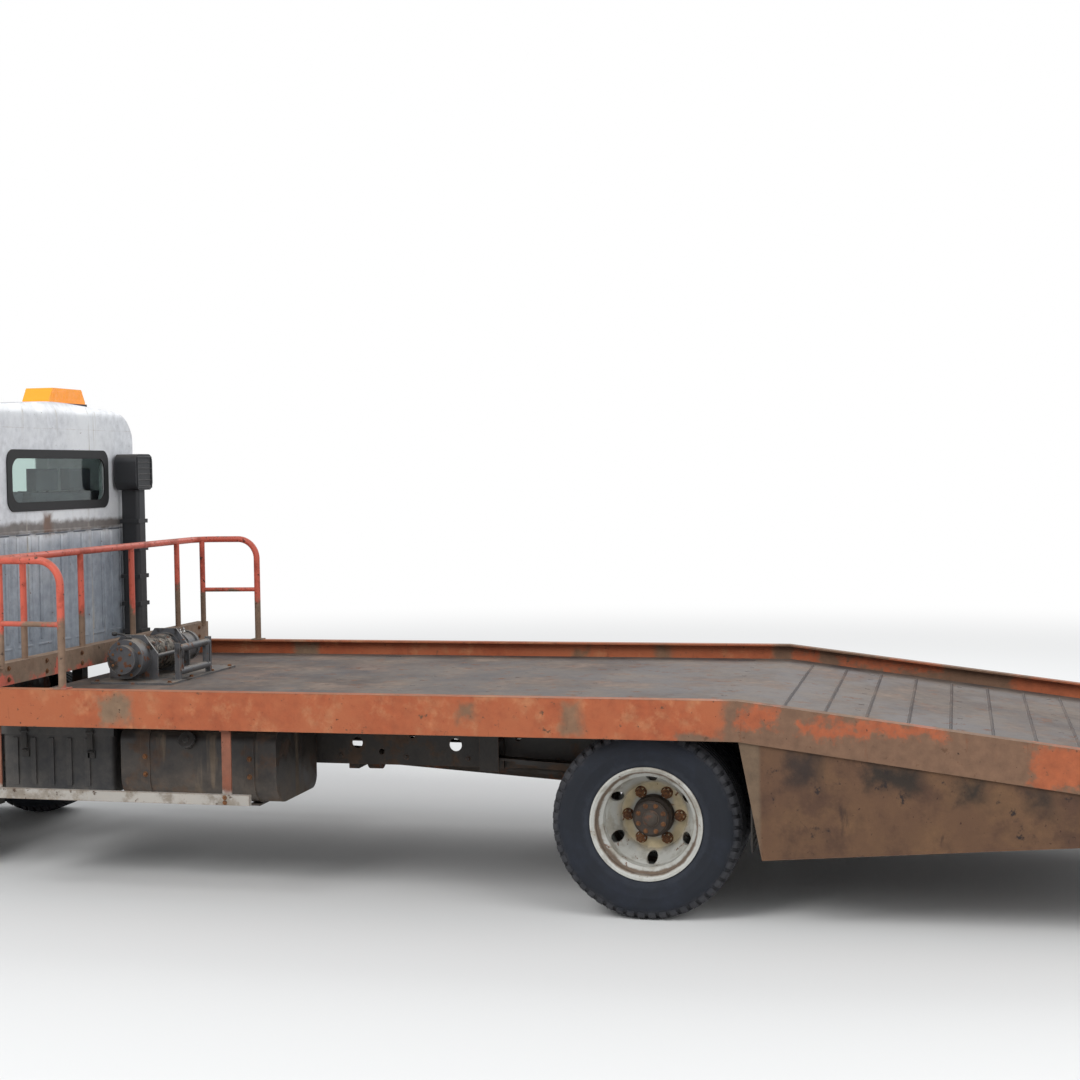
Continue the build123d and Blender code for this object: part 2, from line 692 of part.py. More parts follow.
# Springs
def leaf(cx, cz, r_out, thick, half_length):
    """One leaf: a shallow arc strip about (cx, cz)."""
    r_in = r_out - thick
    a = half_length / r_out
    low_start = (cx - r_out * sin(a), cz - r_out * cos(a))
    low_mid = (cx, cz - r_out)
    low_end = (cx + r_out * sin(a), cz - r_out * cos(a))
    top_start = (cx - r_in * sin(a), cz - r_in * cos(a))
    top_mid = (cx, cz - r_in)
    top_end = (cx + r_in * sin(a), cz - r_in * cos(a))
    edges = [
        ThreePointArc(low_start, low_mid, low_end),
        Line(low_end, top_end),
        ThreePointArc(top_end, top_mid, top_start),
        Line(top_start, low_start),
    ]
    return make_face(edges)


def leaf_spring(axle_x, y, seat_z, front_x, rear_x, width, leaves, rise, bolt_x, grip):
    """Leaves stacked on the axle seat, the longest on top with an eye at each end.

    bolt_x is how far the clamp bolts stand from the axle, grip the axle's depth under the seat.
    """
    half = (rear_x - front_x) / 2
    radius = (half * half + rise * rise) / (2 * rise)
    centre_z = seat_z + radius
    strips = []
    for i in range(leaves):
        share = 1 - (leaves - 1 - i) / (leaves + 1.0)
        r_out = radius - i * SPRING_LEAF
        face = leaf(axle_x, centre_z, r_out, SPRING_LEAF, half * share)
        strips.append(side_prism(face, y - width / 2, y + width / 2))
    r_top = radius - (leaves - 0.5) * SPRING_LEAF
    a = half / r_top
    for sign in (-1, 1):
        x = axle_x + sign * r_top * sin(a)
        z = centre_z - r_top * cos(a) + 14
        strips.append(rod((x, y - width / 2, z), (x, y + width / 2, z), EYE_R))
        pin_half = width / 2 + EYE_SIDE - SEAT_GAP
        strips.append(rod((x, y - pin_half, z), (x, y + pin_half, z), 9))
    stack = leaves * SPRING_LEAF
    clamp = block(
        axle_x - bolt_x - 20, axle_x + bolt_x + 20, y - width / 2 - 3, y + width / 2 + 3,
        seat_z + stack - 6, seat_z + stack + 16,
    )
    strips.append(clamp)
    plate_z = seat_z - grip - SEAT_GAP
    for dx in (-bolt_x, bolt_x):
        for dy in (-width / 2 - 9, width / 2 + 9):
            strips.append(
                rod((axle_x + dx, y + dy, plate_z - 24), (axle_x + dx, y + dy, seat_z + stack + 30), 8)
            )
        strips.append(
            block(
                axle_x + dx - 10, axle_x + dx + 10, y - width / 2 - 19, y + width / 2 + 19,
                seat_z + stack + 14, seat_z + stack + 26,
            )
        )
    low_plate = block(
        axle_x - bolt_x - 16, axle_x + bolt_x + 16, y - width / 2 - 20, y + width / 2 + 20,
        plate_z - 14, plate_z,
    )
    strips.append(low_plate)
    return joined(strips)


REAR_SEAT_Z = AXLE_Z + 68
FRONT_SEAT_Z = AXLE_Z + 6


def leaf_springs():
    springs = []
    rear_span = (REAR_HANGERS[0][0], REAR_HANGERS[1][0])
    front_span = (FRONT_HANGERS[0][0], FRONT_HANGERS[1][0])
    for side in (-1, 1):
        springs.append(
            leaf_spring(
                REAR_AXLE_X, side * REAR_SPRING_Y, REAR_SEAT_Z,
                rear_span[0], rear_span[1], REAR_SPRING_WIDTH, 6, 30,
                AXLE_TUBE_R + 11, REAR_SEAT_Z - AXLE_Z + AXLE_TUBE_R,
            )
        )
        springs.append(
            leaf_spring(
                FRONT_AXLE_X, side * FRONT_SPRING_Y, FRONT_SEAT_Z,
                front_span[0], front_span[1], FRONT_SPRING_WIDTH, 4, 18,
                BEAM_HALF + 19, FRONT_SEAT_Z - AXLE_Z + FRONT_BEAM_DROP + 30,
            )
        )
    return springs


# Axles
def rear_axle():
    profile = [(0, 0), (178, 0), (172, 60), (138, 122), (76, 200), (AXLE_TUBE_R, 262)]
    profile += [(AXLE_TUBE_R, 668)]
    profile += [(46, 690), (AXLE_END_R, 764), (AXLE_END_R, 905), (0, 905)]
    half = lathe(profile)
    other = lathe(profile, -1)
    pieces = [half, other]
    pieces.append(rod((0, 0, 0), (-190, 0, 0), 96))
    pieces.append(rod((-185, 0, 0), (-262, 0, 0), 60))
    pieces.append(rod((0, 0, 0), (112, 0, 0), 138))
    for side in (-1, 1):
        y = side * REAR_SPRING_Y
        pad = REAR_SPRING_WIDTH / 2
        pieces.append(block(-52, 52, y - pad, y + pad, 20, REAR_SEAT_Z - AXLE_Z - SEAT_GAP))
        plate = rod((0, side * 672, 0), (0, side * 680, 0), DRUM_R - 5)
        pieces.append(plate)
    return Pos(REAR_AXLE_X, 0, AXLE_Z) * joined(pieces)


def front_axle():
    """A dropped I-beam with an eye for the kingpin at each end."""
    eye_half = 46
    low = -FRONT_BEAM_DROP
    web_line = [(-560, -30), (-500, low - 30), (500, low - 30), (560, -30), (560, 40), (500, low + 58)]
    web_line += [(-500, low + 58), (-560, 40)]
    web = front_prism(outline(web_line), -10, 10)
    top_line = [(-575, 40), (-560, 24), (-500, low + 40), (500, low + 40), (560, 24), (575, 40)]
    top_line += [(560, 40), (500, low + 58), (-500, low + 58), (-560, 40)]
    top = front_prism(outline(top_line), -BEAM_HALF, BEAM_HALF)
    foot_line = [(-560, -30), (-500, low - 30), (500, low - 30), (560, -30), (560, -12)]
    foot_line += [(500, low - 12), (-500, low - 12), (-560, -12)]
    foot = front_prism(outline(foot_line), -BEAM_HALF, BEAM_HALF)
    pieces = [web, top, foot]
    for side in (-1, 1):
        y = side * KINGPIN_Y
        eye = rod((0, y, -eye_half), (0, y, eye_half), 36)
        low_y, high_y = sorted((side * 540, side * (KINGPIN_Y - 20)))
        neck = block(-28, 28, low_y, high_y, -36, 40)
        pieces += [eye, neck]
        seat_y = side * FRONT_SPRING_Y
        pieces.append(
            block(
                -44, 44, seat_y - FRONT_SPRING_WIDTH / 2, seat_y + FRONT_SPRING_WIDTH / 2,
                low + 50, FRONT_SEAT_Z - AXLE_Z - SEAT_GAP,
            )
        )
    whole = joined(pieces)
    for side in (-1, 1):
        y = side * KINGPIN_Y
        whole = whole - rod((0, y, -eye_half - 1), (0, y, eye_half + 1), KINGPIN_R + RUN_GAP)
        outer = block(-60, 60, min(side * 662, side * 760), max(side * 662, side * 760), -60, 60)
        whole = whole - outer
    return Pos(FRONT_AXLE_X, 0, AXLE_Z) * whole


def knuckle(side):
    """Fork, kingpin, spindle, brake plate and steering arm."""
    y = side * KINGPIN_Y
    pin = rod((0, y, -92), (0, y, 92), KINGPIN_R)
    pieces = [pin]
    for sign in (-1, 1):
        fork = rod((0, y, sign * 52), (0, y, sign * 88), 38)
        low_y, high_y = sorted((y, side * 678))
        z0, z1 = sorted((sign * 52, sign * 88))
        pieces += [fork, block(-38, 38, low_y, high_y, z0, z1)]
    low_y, high_y = sorted((side * 662, side * 690))
    pieces.append(block(-45, 45, low_y, high_y, -88, 88))
    pieces.append(rod((0, side * 685, 0), (0, side * 694, 0), DRUM_R - 5))
    pieces.append(rod((0, side * 685, 0), (0, side * 760, 0), SPINDLE_R + 10))
    pieces.append(rod((0, side * 755, 0), (0, side * 862, 0), SPINDLE_R))
    arm_x = STEER_ARM_LENGTH
    arm_y = side * STEER_ARM_Y
    arm_z = STEER_ARM_Z - AXLE_Z
    arm = [
        (-20, y - side * 18), (20, y - side * 30), (arm_x, arm_y - side * 22),
        (arm_x + 24, arm_y), (arm_x, arm_y + side * 22), (30, y + side * 36), (-20, y + side * 30),
    ]
    pieces.append(plan_prism(outline(arm), arm_z - 10, arm_z + 10))
    if side > 0:
        stud_foot = arm_z - TIE_ROD_BELOW + 26
        pieces.append(rod((arm_x, arm_y, stud_foot), (arm_x, arm_y, arm_z + 18), STUD_R))
        return Pos(FRONT_AXLE_X, 0, AXLE_Z) * joined(pieces)
    bore = rod((arm_x, arm_y, arm_z - 20), (arm_x, arm_y, arm_z + 20), STUD_R + RUN_GAP)
    return Pos(FRONT_AXLE_X, 0, AXLE_Z) * (joined(pieces) - bore)


def tie_rod():
    """The bar behind the axle between the steering arms; its stud turns in the left arm.

    The right end stays just under the right arm's stud, where the linkage is open.
    """
    x = FRONT_AXLE_X + STEER_ARM_LENGTH
    z = STEER_ARM_Z - TIE_ROD_BELOW
    pieces = [rod((x, -STEER_ARM_Y, z), (x, STEER_ARM_Y, z), TIE_ROD_R)]
    for side in (-1, 1):
        y = side * STEER_ARM_Y
        pieces.append(rod((x, y, z - 18), (x, y, z + 20), 23))
    pieces.append(rod((x, -STEER_ARM_Y, z), (x, -STEER_ARM_Y, STEER_ARM_Z + 18), STUD_R))
    return joined(pieces)


# Wheels, about the Y axis at the origin, their outer side towards +Y
def tyre():
    half = TYRE_WIDTH / 2
    bead = RIM_HALF_WIDTH - 9.5
    side = [
        (RIM_R + 0.7, bead - 1.5), (FLANGE_R + 1, bead + 1.5), (FLANGE_R + 14, bead + 11),
        (300, half - 2), (335, half),
        (372, half - 8), (TYRE_R - 10, half - 24), (TYRE_R, half - 44),
    ]
    points = side + [(r, -y) for r, y in reversed(side)]
    return lathe(points)


def rim():
    """Drop-centre rim with a dished disc; the disc faces the origin side of the rim."""
    w = RIM_HALF_WIDTH
    wall = RIM_WALL
    well = RIM_R - 24
    outer = [
        (FLANGE_R, w), (FLANGE_R, w - 6), (RIM_R, w - 9), (RIM_R, w - 38), (well, w - 58),
        (well, -w + 70), (RIM_R, -w + 38), (RIM_R, -w + 9), (FLANGE_R, -w + 6), (FLANGE_R, -w),
    ]
    inner = [
        (FLANGE_R - 9, -w), (RIM_R - wall, -w + 9), (RIM_R - wall, -w + 40),
        (well - wall, -w + 70), (well - wall, w - 58), (RIM_R - wall, w - 36),
        (RIM_R - wall, w - 9), (FLANGE_R - 9, w),
    ]
    hoop = lathe(outer + inner)
    face = -DISC_OFFSET
    dish = [
        (70, face), (148, face), (187, face + 70), (well - 3, face + 101), (well - 3, face + 119),
        (181, face + 88), (142, face + DISC_WALL), (70, face + DISC_WALL),
    ]
    disc = lathe(dish)
    turn = 360 / NUT_COUNT / 2
    holes = [
        rod(
            (HAND_HOLE_CIRCLE_R * cos(a), face - 10, HAND_HOLE_CIRCLE_R * sin(a)),
            (HAND_HOLE_CIRCLE_R * cos(a), face + 110, HAND_HOLE_CIRCLE_R * sin(a)), HAND_HOLE_R,
        )
        for a in [radians(turn + 60 * i) for i in range(NUT_COUNT)]
    ]
    return hoop + (disc - holes)


def hub(face_y, reach, bore_r, bore_end, inner_y, r):
    """Hub barrel from inner_y out to reach, bored for the axle end."""
    profile = [
        (bore_r, inner_y), (r, inner_y), (r, face_y + 62), (r - 10, face_y + 72),
        (r - 10, reach - 6), (r - 18, reach), (0, reach), (0, bore_end), (bore_r, bore_end),
    ]
    return lathe(profile)


def brake_drum(mouth_y, face_y):
    wall = DRUM_WALL
    profile = [
        (60, face_y - wall), (DRUM_R - wall, face_y - wall), (DRUM_R - wall, mouth_y),
        (DRUM_R, mouth_y), (DRUM_R, face_y), (60, face_y),
    ]
    return lathe(profile)


def rear_rims():
    """Two rims bolted back to back on one hub with its drum; outer side towards +Y."""
    face = DISC_FACE_Y
    outer = Pos(0, REAR_OUTER_TYRE_Y, 0) * rim()
    inner = Pos(0, REAR_INNER_TYRE_Y, 0) * (Rot(0, 0, 180) * rim())
    barrel = hub(face, 932, AXLE_END_R + RUN_GAP, 912, 770, 84)
    drum = brake_drum(690, face - DISC_WALL)
    nuts = hex_ring(NUT_COUNT, NUT_CIRCLE_R, NUT_ACROSS, face + 2, face + DISC_WALL + NUT_HEIGHT)
    return joined([outer, inner, barrel, drum] + nuts)


def front_rim():
    """One rim with its disc outwards, hub and drum; outer side towards +Y."""
    face = FRONT_TYRE_Y + DISC_OFFSET
    rim_in = Pos(0, FRONT_TYRE_Y, 0) * (Rot(0, 0, 180) * rim())
    barrel = hub(face - 62, 902, SPINDLE_R + RUN_GAP, 868, 765, 74)
    web = lathe([(60, face - 30), (150, face - 30), (150, face - DISC_WALL), (60, face - DISC_WALL)])
    drum = brake_drum(702, face - 28)
    nuts = hex_ring(NUT_COUNT, NUT_CIRCLE_R, NUT_ACROSS, face - 2, face + NUT_HEIGHT)
    return joined([rim_in, barrel, web, drum] + nuts)


def on_side(piece, side, x):
    """Puts a wheel piece on its axle, mirrored to the left where side is -1."""
    placed = mirror(piece, about=Plane.XZ) if side < 0 else piece
    return Pos(x, 0, AXLE_Z) * placed


# Power train
ENGINE_HALF = 230
ENGINE_X = (FRONT_AXLE_X - 430, FRONT_AXLE_X + 340)


def engine_block():
    block_line = [
        (-ENGINE_HALF, 520), (-150, 430), (150, 430), (ENGINE_HALF, 520), (ENGINE_HALF, 780),
        (140, 945), (-140, 945), (-ENGINE_HALF, 780),
    ]
    pieces = [front_prism(outline(block_line), ENGINE_X[0], ENGINE_X[1])]
    for x in (ENGINE_X[0] + 130, ENGINE_X[1] - 140):
        for side in (-1, 1):
            low_y, high_y = sorted((side * 200, side * (FRAME_OUT_Y - FRAME_WALL - SEAT_GAP)))
            pieces.append(block(x - 35, x + 35, low_y, high_y, 560, 610))
    return joined(pieces)


GEARBOX_X = ENGINE_X[1]
SHAFT_FRONT = (GEARBOX_X + 550, 0, 545)
SHAFT_MID = (REAR_AXLE_X - 1520, 0, 480)
SHAFT_REAR = (REAR_AXLE_X - 290, 0, AXLE_Z)


def driveline():
    """Gearbox and a two-piece propeller shaft with its centre bearing."""
    pieces = [
        rod((GEARBOX_X, 0, 560), (GEARBOX_X + 160, 0, 560), 190),
        rod((GEARBOX_X + 155, 0, 560), (GEARBOX_X + 440, 0, 552), 120),
        rod((GEARBOX_X + 435, 0, 552), SHAFT_FRONT, 70),
        rod(SHAFT_FRONT, SHAFT_MID, 38),
        rod(SHAFT_MID, SHAFT_REAR, 38),
    ]
    ends = [(SHAFT_FRONT, 62), (SHAFT_MID, 66), (SHAFT_REAR, 62)]
    for (x, y, z), r in ends:
        pieces.append(rod((x - 34, y, z), (x + 28, y, z), r))
    x, _, z = SHAFT_MID
    pieces.append(block(x - 25, x + 25, -FRAME_OUT_Y + 75, FRAME_OUT_Y - 75, z - 8, FRAME_BOTTOM - 2))
    for side in (-1, 1):
        pieces.append(
            block(
                x - 25, x + 25, side * 318 - 22, side * 318 + 22,
                z - 8, FRAME_BOTTOM - SEAT_GAP,
            )
        )
    return joined(pieces)


# Side equipment
TANK_X = (CAB_BACK_X + 790, CAB_BACK_X + 1534)
TANK_Y = (200 - RAIL_OUT_Y, -450)
TANK_Z = (405, 735)
TANK_STRAP_XS = [TANK_X[0] + 120, TANK_X[1] - 124]
BATTERY_X = (CAB_BACK_X + 170, CAB_BACK_X + 730)
BATTERY_Y = (250 - RAIL_OUT_Y, -470)
BATTERY_Z = (430, 735)
AIR_TANK_X = (CAB_BACK_X + 490, CAB_BACK_X + 1110)
AIR_TANK_STRAP_XS = [AIR_TANK_X[0] + 100, AIR_TANK_X[1] - 100]
AIR_TANK_Y = 640
AIR_TANK_Z = 600
AIR_TANK_R = 130
SILENCER_X = (CAB_BACK_X + 1190, CAB_BACK_X + 1670)
SILENCER_Y = 575
SILENCER_Z = 560
SILENCER_R = 105
PIPE_R = 27
PIPE_Z = 392
CLEANER_X = (CAB_BACK_X + 15, CAB_BACK_X + 410)
CLEANER_Y = 645
CLEANER_Z = 590
CLEANER_R = 128
# Frame brackets: x, side, reach from the middle, height of the shelf under the load.
SIDE_BRACKETS = [
    (TANK_STRAP_XS[0], -1, -TANK_Y[0] - 50, TANK_Z[0] - 4 - SEAT_GAP),
    (TANK_STRAP_XS[1], -1, -TANK_Y[0] - 50, TANK_Z[0] - 4 - SEAT_GAP),
    (BATTERY_X[0] + 110, -1, -BATTERY_Y[0] - 40, BATTERY_Z[0] - SEAT_GAP),
    (BATTERY_X[1] - 100, -1, -BATTERY_Y[0] - 40, BATTERY_Z[0] - SEAT_GAP),
    (AIR_TANK_STRAP_XS[0], 1, AIR_TANK_Y + 60, AIR_TANK_Z - AIR_TANK_R - SEAT_GAP),
    (AIR_TANK_STRAP_XS[1], 1, AIR_TANK_Y + 60, AIR_TANK_Z - AIR_TANK_R - SEAT_GAP),
    (SILENCER_X[0] + 80, 1, SILENCER_Y + 45, SILENCER_Z - SILENCER_R - SEAT_GAP),
    (SILENCER_X[1] - 80, 1, SILENCER_Y + 45, SILENCER_Z - SILENCER_R - SEAT_GAP),
    (CLEANER_X[0] + 105, 1, CLEANER_Y + 55, CLEANER_Z - CLEANER_R - SEAT_GAP),
    (CLEANER_X[1] - 80, 1, CLEANER_Y + 55, CLEANER_Z - CLEANER_R - SEAT_GAP),
]


def fuel_tank():
    y0, y1 = TANK_Y
    z0, z1 = TANK_Z
    body = front_prism(
        outline([(y0, z0), (y1, z0), (y1, z1), (y0, z1)], radius=[110, 60, 40, 60]),
        TANK_X[0], TANK_X[1],
    )
    strap_line = outline(
        [(y0 - 4, z0 - 4), (y1 + 4, z0 - 4), (y1 + 4, z1 + 4), (y0 - 4, z1 + 4)],
        radius=[114, 64, 44, 64],
    )
    straps = [front_prism(strap_line, x - 22, x + 22) for x in TANK_STRAP_XS]
    neck_x = TANK_X[0] + 330
    neck = rod((neck_x, y0 + 60, z1 - 90), (neck_x, y0 - 12, z1 - 48), 30)
    return joined([body] + straps + [neck])


def battery_box():
    x0, x1 = BATTERY_X
    y0, y1 = BATTERY_Y
    z0, z1 = BATTERY_Z
    body = block(x0, x1, y0, y1, z0, z1)
    body = fillet(body.edges().filter_by(Axis.Z), 25)
    rib_xs = [x0 + 70 + 90 * i for i in range(5)]
    ribs = [block(x - 12, x + 12, y0 - 8, y0 + 5, z0 + 30, z1 - 60) for x in rib_xs]
    lid = block(x0 - 6, x1 + 6, y0 - 10, y1 + 4, z1 - 45, z1 - 8)
    return joined([body, lid] + ribs)


def air_tanks():
    x0, x1 = AIR_TANK_X
    y, z, r = AIR_TANK_Y, AIR_TANK_Z, AIR_TANK_R
    dome = 40
    profile = outline(
        [(x0, 0), (x0, r * 0.45), (x0 + dome, r), (x1 - dome, r), (x1, r * 0.45), (x1, 0)]
    )
    tank = Pos(0, y, z) * revolve(profile, axis=Axis.X)
    under = block(x0, x1, y - r, y + r, z - r - 60, z - r)
    pieces = [tank]
    for x in AIR_TANK_STRAP_XS:
        pieces.append(block(x - 20, x + 20, y - 90, y + 50, z - r, z - r + 50))
        pieces.append(rod((x - 20, y, z), (x + 20, y, z), r + 4) - under)
    return joined(pieces)


def side_guard():
    """The left guard: a bar on posts that drop from the rail."""
    y0, y1 = -RAIL_OUT_Y + 5, -RAIL_OUT_Y + 30
    x0, x1 = CAB_BACK_X + 230, CAB_BACK_X + 1487
    bar = block(x0, x1, y0, y1, 440, 485)
    post_top = RAIL_BOTTOM - SEAT_GAP
    posts = []
    for x in (x0 + 40, x1 - 113):
        posts.append(block(x - 21, x + 22, y1 - 1, y1 + 7, 440, post_top))
        posts.append(block(x - 21, x + 22, y1 - 20, y1 + 30, post_top - 7, post_top))
    return joined([bar] + posts)


def mudflaps():
    flaps = []
    for side in (-1, 1):
        x = REAR_AXLE_X + 436
        low_y, high_y = sorted((side * 585, side * 1070))
        rear = block(x, x + 7, low_y, high_y, 300, 700)
        low_y, high_y = sorted((side * (FRAME_OUT_Y + SEAT_GAP), side * 1070))
        rear = rear + block(x + 7, x + 22, low_y, high_y, 640, 675)
        x = FRONT_AXLE_X + 492
        low_y, high_y = sorted((side * 520, side * 850))
        front = block(x, x + 7, low_y, high_y, 290, 705)
        low_y, high_y = sorted((side * (FRAME_OUT_Y + SEAT_GAP), side * 850))
        front = front + block(x + 7, x + 20, low_y, high_y, 655, 690)
        flaps += [rear, front]
    return flaps


BUMPER_Z = (330, 535)
BUMPER_HALF = 872


def bumper():
    """A pressed channel bumper with its ends turned back."""
    low_z, high_z = BUMPER_Z
    back = FRONT_X + 70
    ends = FRONT_X + 140
    outer = [
        (ends, -BUMPER_HALF), (FRONT_X + 60, -BUMPER_HALF), (FRONT_X, -BUMPER_HALF + 130),
        (FRONT_X, BUMPER_HALF - 130), (FRONT_X + 60, BUMPER_HALF), (ends, BUMPER_HALF),
        (ends, BUMPER_HALF - 30), (back, BUMPER_HALF - 120), (back, -BUMPER_HALF + 120),
        (ends, -BUMPER_HALF + 30),
    ]
    body = plan_prism(outline(outer), low_z, high_z)
    trough = plan_prism(
        outline(
            [
                (back + 5, -BUMPER_HALF + 60), (FRONT_X + 40, -BUMPER_HALF + 110),
                (FRONT_X + 8, -BUMPER_HALF + 190), (FRONT_X + 8, BUMPER_HALF - 190),
                (FRONT_X + 40, BUMPER_HALF - 110), (back + 5, BUMPER_HALF - 60),
            ]
        ),
        low_z + 8, high_z - 8,
    )
    body = body - trough
    lamp_holes = [
        block(FRONT_X - 5, FRONT_X + 30, side * 610 - 85, side * 610 + 85, 400, 470)
        for side in (-1, 1)
    ]
    lamps = [
        block(FRONT_X + 7, FRONT_X + 40, side * 610 - 90, side * 610 + 90, 392, 478)
        for side in (-1, 1)
    ]
    stays = [
        block(
            FRONT_X + 6, FRONT_X + 76 - SEAT_GAP,
            side * HINGE_ARM_Y - 25, side * HINGE_ARM_Y + 25, 370, 500,
        )
        for side in (-1, 1)
    ]
    return joined([body - lamp_holes] + lamps + stays)


def air_intake():
    """Snorkel head, its duct behind the cab, and the air cleaner under the deck."""
    back = CAB_BACK_X
    head = block(back + 18, back + 145, 560, 760, 1790, 1985)
    head = fillet(head.edges().filter_by(Axis.X), 45)
    duct = block(back + 25, back + 130, 610, 705, CLEANER_Z + 60, 1800)
    duct = fillet(duct.edges().filter_by(Axis.Z), 20)
    rib_zs = range(860, 1760, 150)
    ribs = [block(back + 21, back + 134, 604, 711, z, z + 22) for z in rib_zs]
    x0, x1 = CLEANER_X
    can = rod((x0, CLEANER_Y, CLEANER_Z), (x1, CLEANER_Y, CLEANER_Z), CLEANER_R)
    lid = rod((x1, CLEANER_Y, CLEANER_Z), (x1 + 26, CLEANER_Y, CLEANER_Z), CLEANER_R - 22)
    return joined([head, duct, can, lid] + ribs)


def exhaust():
    x0, x1 = SILENCER_X
    y, z, r = SILENCER_Y, SILENCER_Z, SILENCER_R
    shell = rod((x0, y, z), (x1, y, z), r)
    start_x = ENGINE_X[1] - 80
    front = tube_run(
        [
            (start_x, ENGINE_HALF + SEAT_GAP, 545), (start_x, 276, 545), (start_x, 276, PIPE_Z),
            (start_x + 270, 430, PIPE_Z), (x0 - 140, 430, PIPE_Z), (x0 + 20, y, z),
        ],
        PIPE_R, [34, 60, 90, 90],
    )
    rear = tube_run([(x1 - 20, y, z), (x1 + 150, y, z), (x1 + 150, 1010, z - 60)], PIPE_R, 90)
    return joined([shell, front, rear])


def rear_lamps():
    x0 = REAR_PLATE_X + REAR_PLATE_WALL + SEAT_GAP
    lamps = []
    for side in (-1, 1):
        y0, y1 = sorted((side * (FLANGE_IN_Y - 160), side * (FLANGE_IN_Y - 10)))
        lamp = block(x0, TAIL_X, y0, y1, PANEL_TIP_Z + 10, PANEL_TIP_Z + 88)
        lamps.append(fillet(lamp.edges().filter_by(Axis.X), 12))
    return lamps


# Cab envelope: three outlines crossed, each drawn inwards by the same inset
CAB_SPAN_X = (CAB_FRONT_X - 300, CAB_BACK_X + 130)
SCREEN_SPAN_X = (CAB_FRONT_X - 100, CAB_FRONT_X + 450)
BACK_SPAN_X = (CAB_BACK_X - 90, CAB_BACK_X + 50)


def cab_envelope(inset):
    screen_top_z = 2120
    screen_top_x = CAB_FRONT_X + (screen_top_z - SCREEN_FOOT_Z) * SCREEN_RAKE
    side = outline(
        [
            (CAB_FRONT_X, 0), (CAB_FRONT_X, SCREEN_FOOT_Z), (screen_top_x, screen_top_z),
            (screen_top_x + 150, CAB_ROOF_Z - 30), (screen_top_x + 520, CAB_ROOF_Z + 20),
            (CAB_BACK_X, CAB_ROOF_Z + 20), (CAB_BACK_X, 0),
        ],
        radius=[0, 60, 110, 160, 300, 110, 0],
    )
    front = outline(
        [
            (-CAB_HALF_WIDTH, 0), (CAB_HALF_WIDTH, 0), (CAB_HALF_WIDTH, BELT_Z),
            (CAB_SHOULDER_Y, CAB_SHOULDER_Z), (0, CAB_ROOF_Z), (-CAB_SHOULDER_Y, CAB_SHOULDER_Z),
            (-CAB_HALF_WIDTH, BELT_Z),
        ],
        radius=[0, 0, 0, 230, 3000, 230, 0],
    )
    bow = 34
    plan = outline(
        [
            (CAB_BACK_X, -CAB_HALF_WIDTH), (CAB_BACK_X, CAB_HALF_WIDTH),
            (CAB_FRONT_X + bow, CAB_HALF_WIDTH), (CAB_FRONT_X, 0),
            (CAB_FRONT_X + bow, -CAB_HALF_WIDTH),
        ],
        radius=[55, 55, 95, 6000, 95],
    )
    if inset != 0:
        side = offset(side, amount=-inset)
        front = offset(front, amount=-inset)
        plan = offset(plan, amount=-inset)
    body = side_prism(side, -1000, 1000) & front_prism(front, CAB_SPAN_X[0], CAB_SPAN_X[1])
    return (body & plan_prism(plan, 10, 2400)).fix()


def door_edge_x(z):
    """Where the door's front edge stands at a height, following the raked screen."""
    return DOOR_FRONT_X + max(0, z - SCREEN_FOOT_Z - 20) * SCREEN_RAKE


def door_face(grow):
    """The door's outline in (x, z), grown outwards by grow; grown by the gap it is the opening."""
    lean_z = SCREEN_FOOT_Z + 20
    top = DOOR_TOP_Z + grow
    points = [
        (DOOR_FRONT_X - grow, DOOR_BOTTOM_Z - grow),
        (DOOR_FRONT_X - grow, lean_z),
        (door_edge_x(top) - grow, top),
        (DOOR_REAR_X + grow, top),
        (DOOR_REAR_X + grow, DOOR_BOTTOM_Z - grow),
    ]
    radii = [30, 0, 60, 60, 30]
    face = outline(points, radius=radii)
    arch = Pos(FRONT_AXLE_X, AXLE_Z) * Circle(ARCH_R + DOOR_GAP - grow)
    return face - arch


WINDOW_SILL_Z = 1450
WINDOW_TOP_Z = 2030


def side_window_face(grow):
    front = DOOR_FRONT_X + 75
    lean_z = SCREEN_FOOT_Z + 20
    points = [
        (front + (WINDOW_SILL_Z - lean_z) * SCREEN_RAKE - grow, WINDOW_SILL_Z - grow),
        (front + (WINDOW_TOP_Z - lean_z) * SCREEN_RAKE - grow, WINDOW_TOP_Z + grow),
        (DOOR_REAR_X - 75 + grow, WINDOW_TOP_Z + grow),
        (DOOR_REAR_X - 75 + grow, WINDOW_SILL_Z - grow),
    ]
    return outline(points, radius=50)


def rear_window_face(grow):
    half = REAR_WINDOW_WIDTH / 2 - SEAL_WIDTH + grow
    low = REAR_WINDOW_LOW_Z + SEAL_WIDTH - grow
    high = REAR_WINDOW_HIGH_Z - SEAL_WIDTH + grow
    return outline([(-half, low), (half, low), (half, high), (-half, high)], radius=WINDOW_CORNER_R)


SCREEN_LOW_Z = 1425
SCREEN_HIGH_Z = 2050
SCREEN_HALF_LOW = 745
SCREEN_HALF_HIGH = 690


def windscreen_face(grow):
    points = [
        (-SCREEN_HALF_LOW - grow, SCREEN_LOW_Z - grow),
        (SCREEN_HALF_LOW + grow, SCREEN_LOW_Z - grow),
        (SCREEN_HALF_HIGH + grow, SCREEN_HIGH_Z + grow),
        (-SCREEN_HALF_HIGH - grow, SCREEN_HIGH_Z + grow),
    ]
    return outline(points, radius=80)


outer_form = cab_envelope(0)
inner_form = cab_envelope(CAB_WALL)
cab_shell = outer_form - inner_form
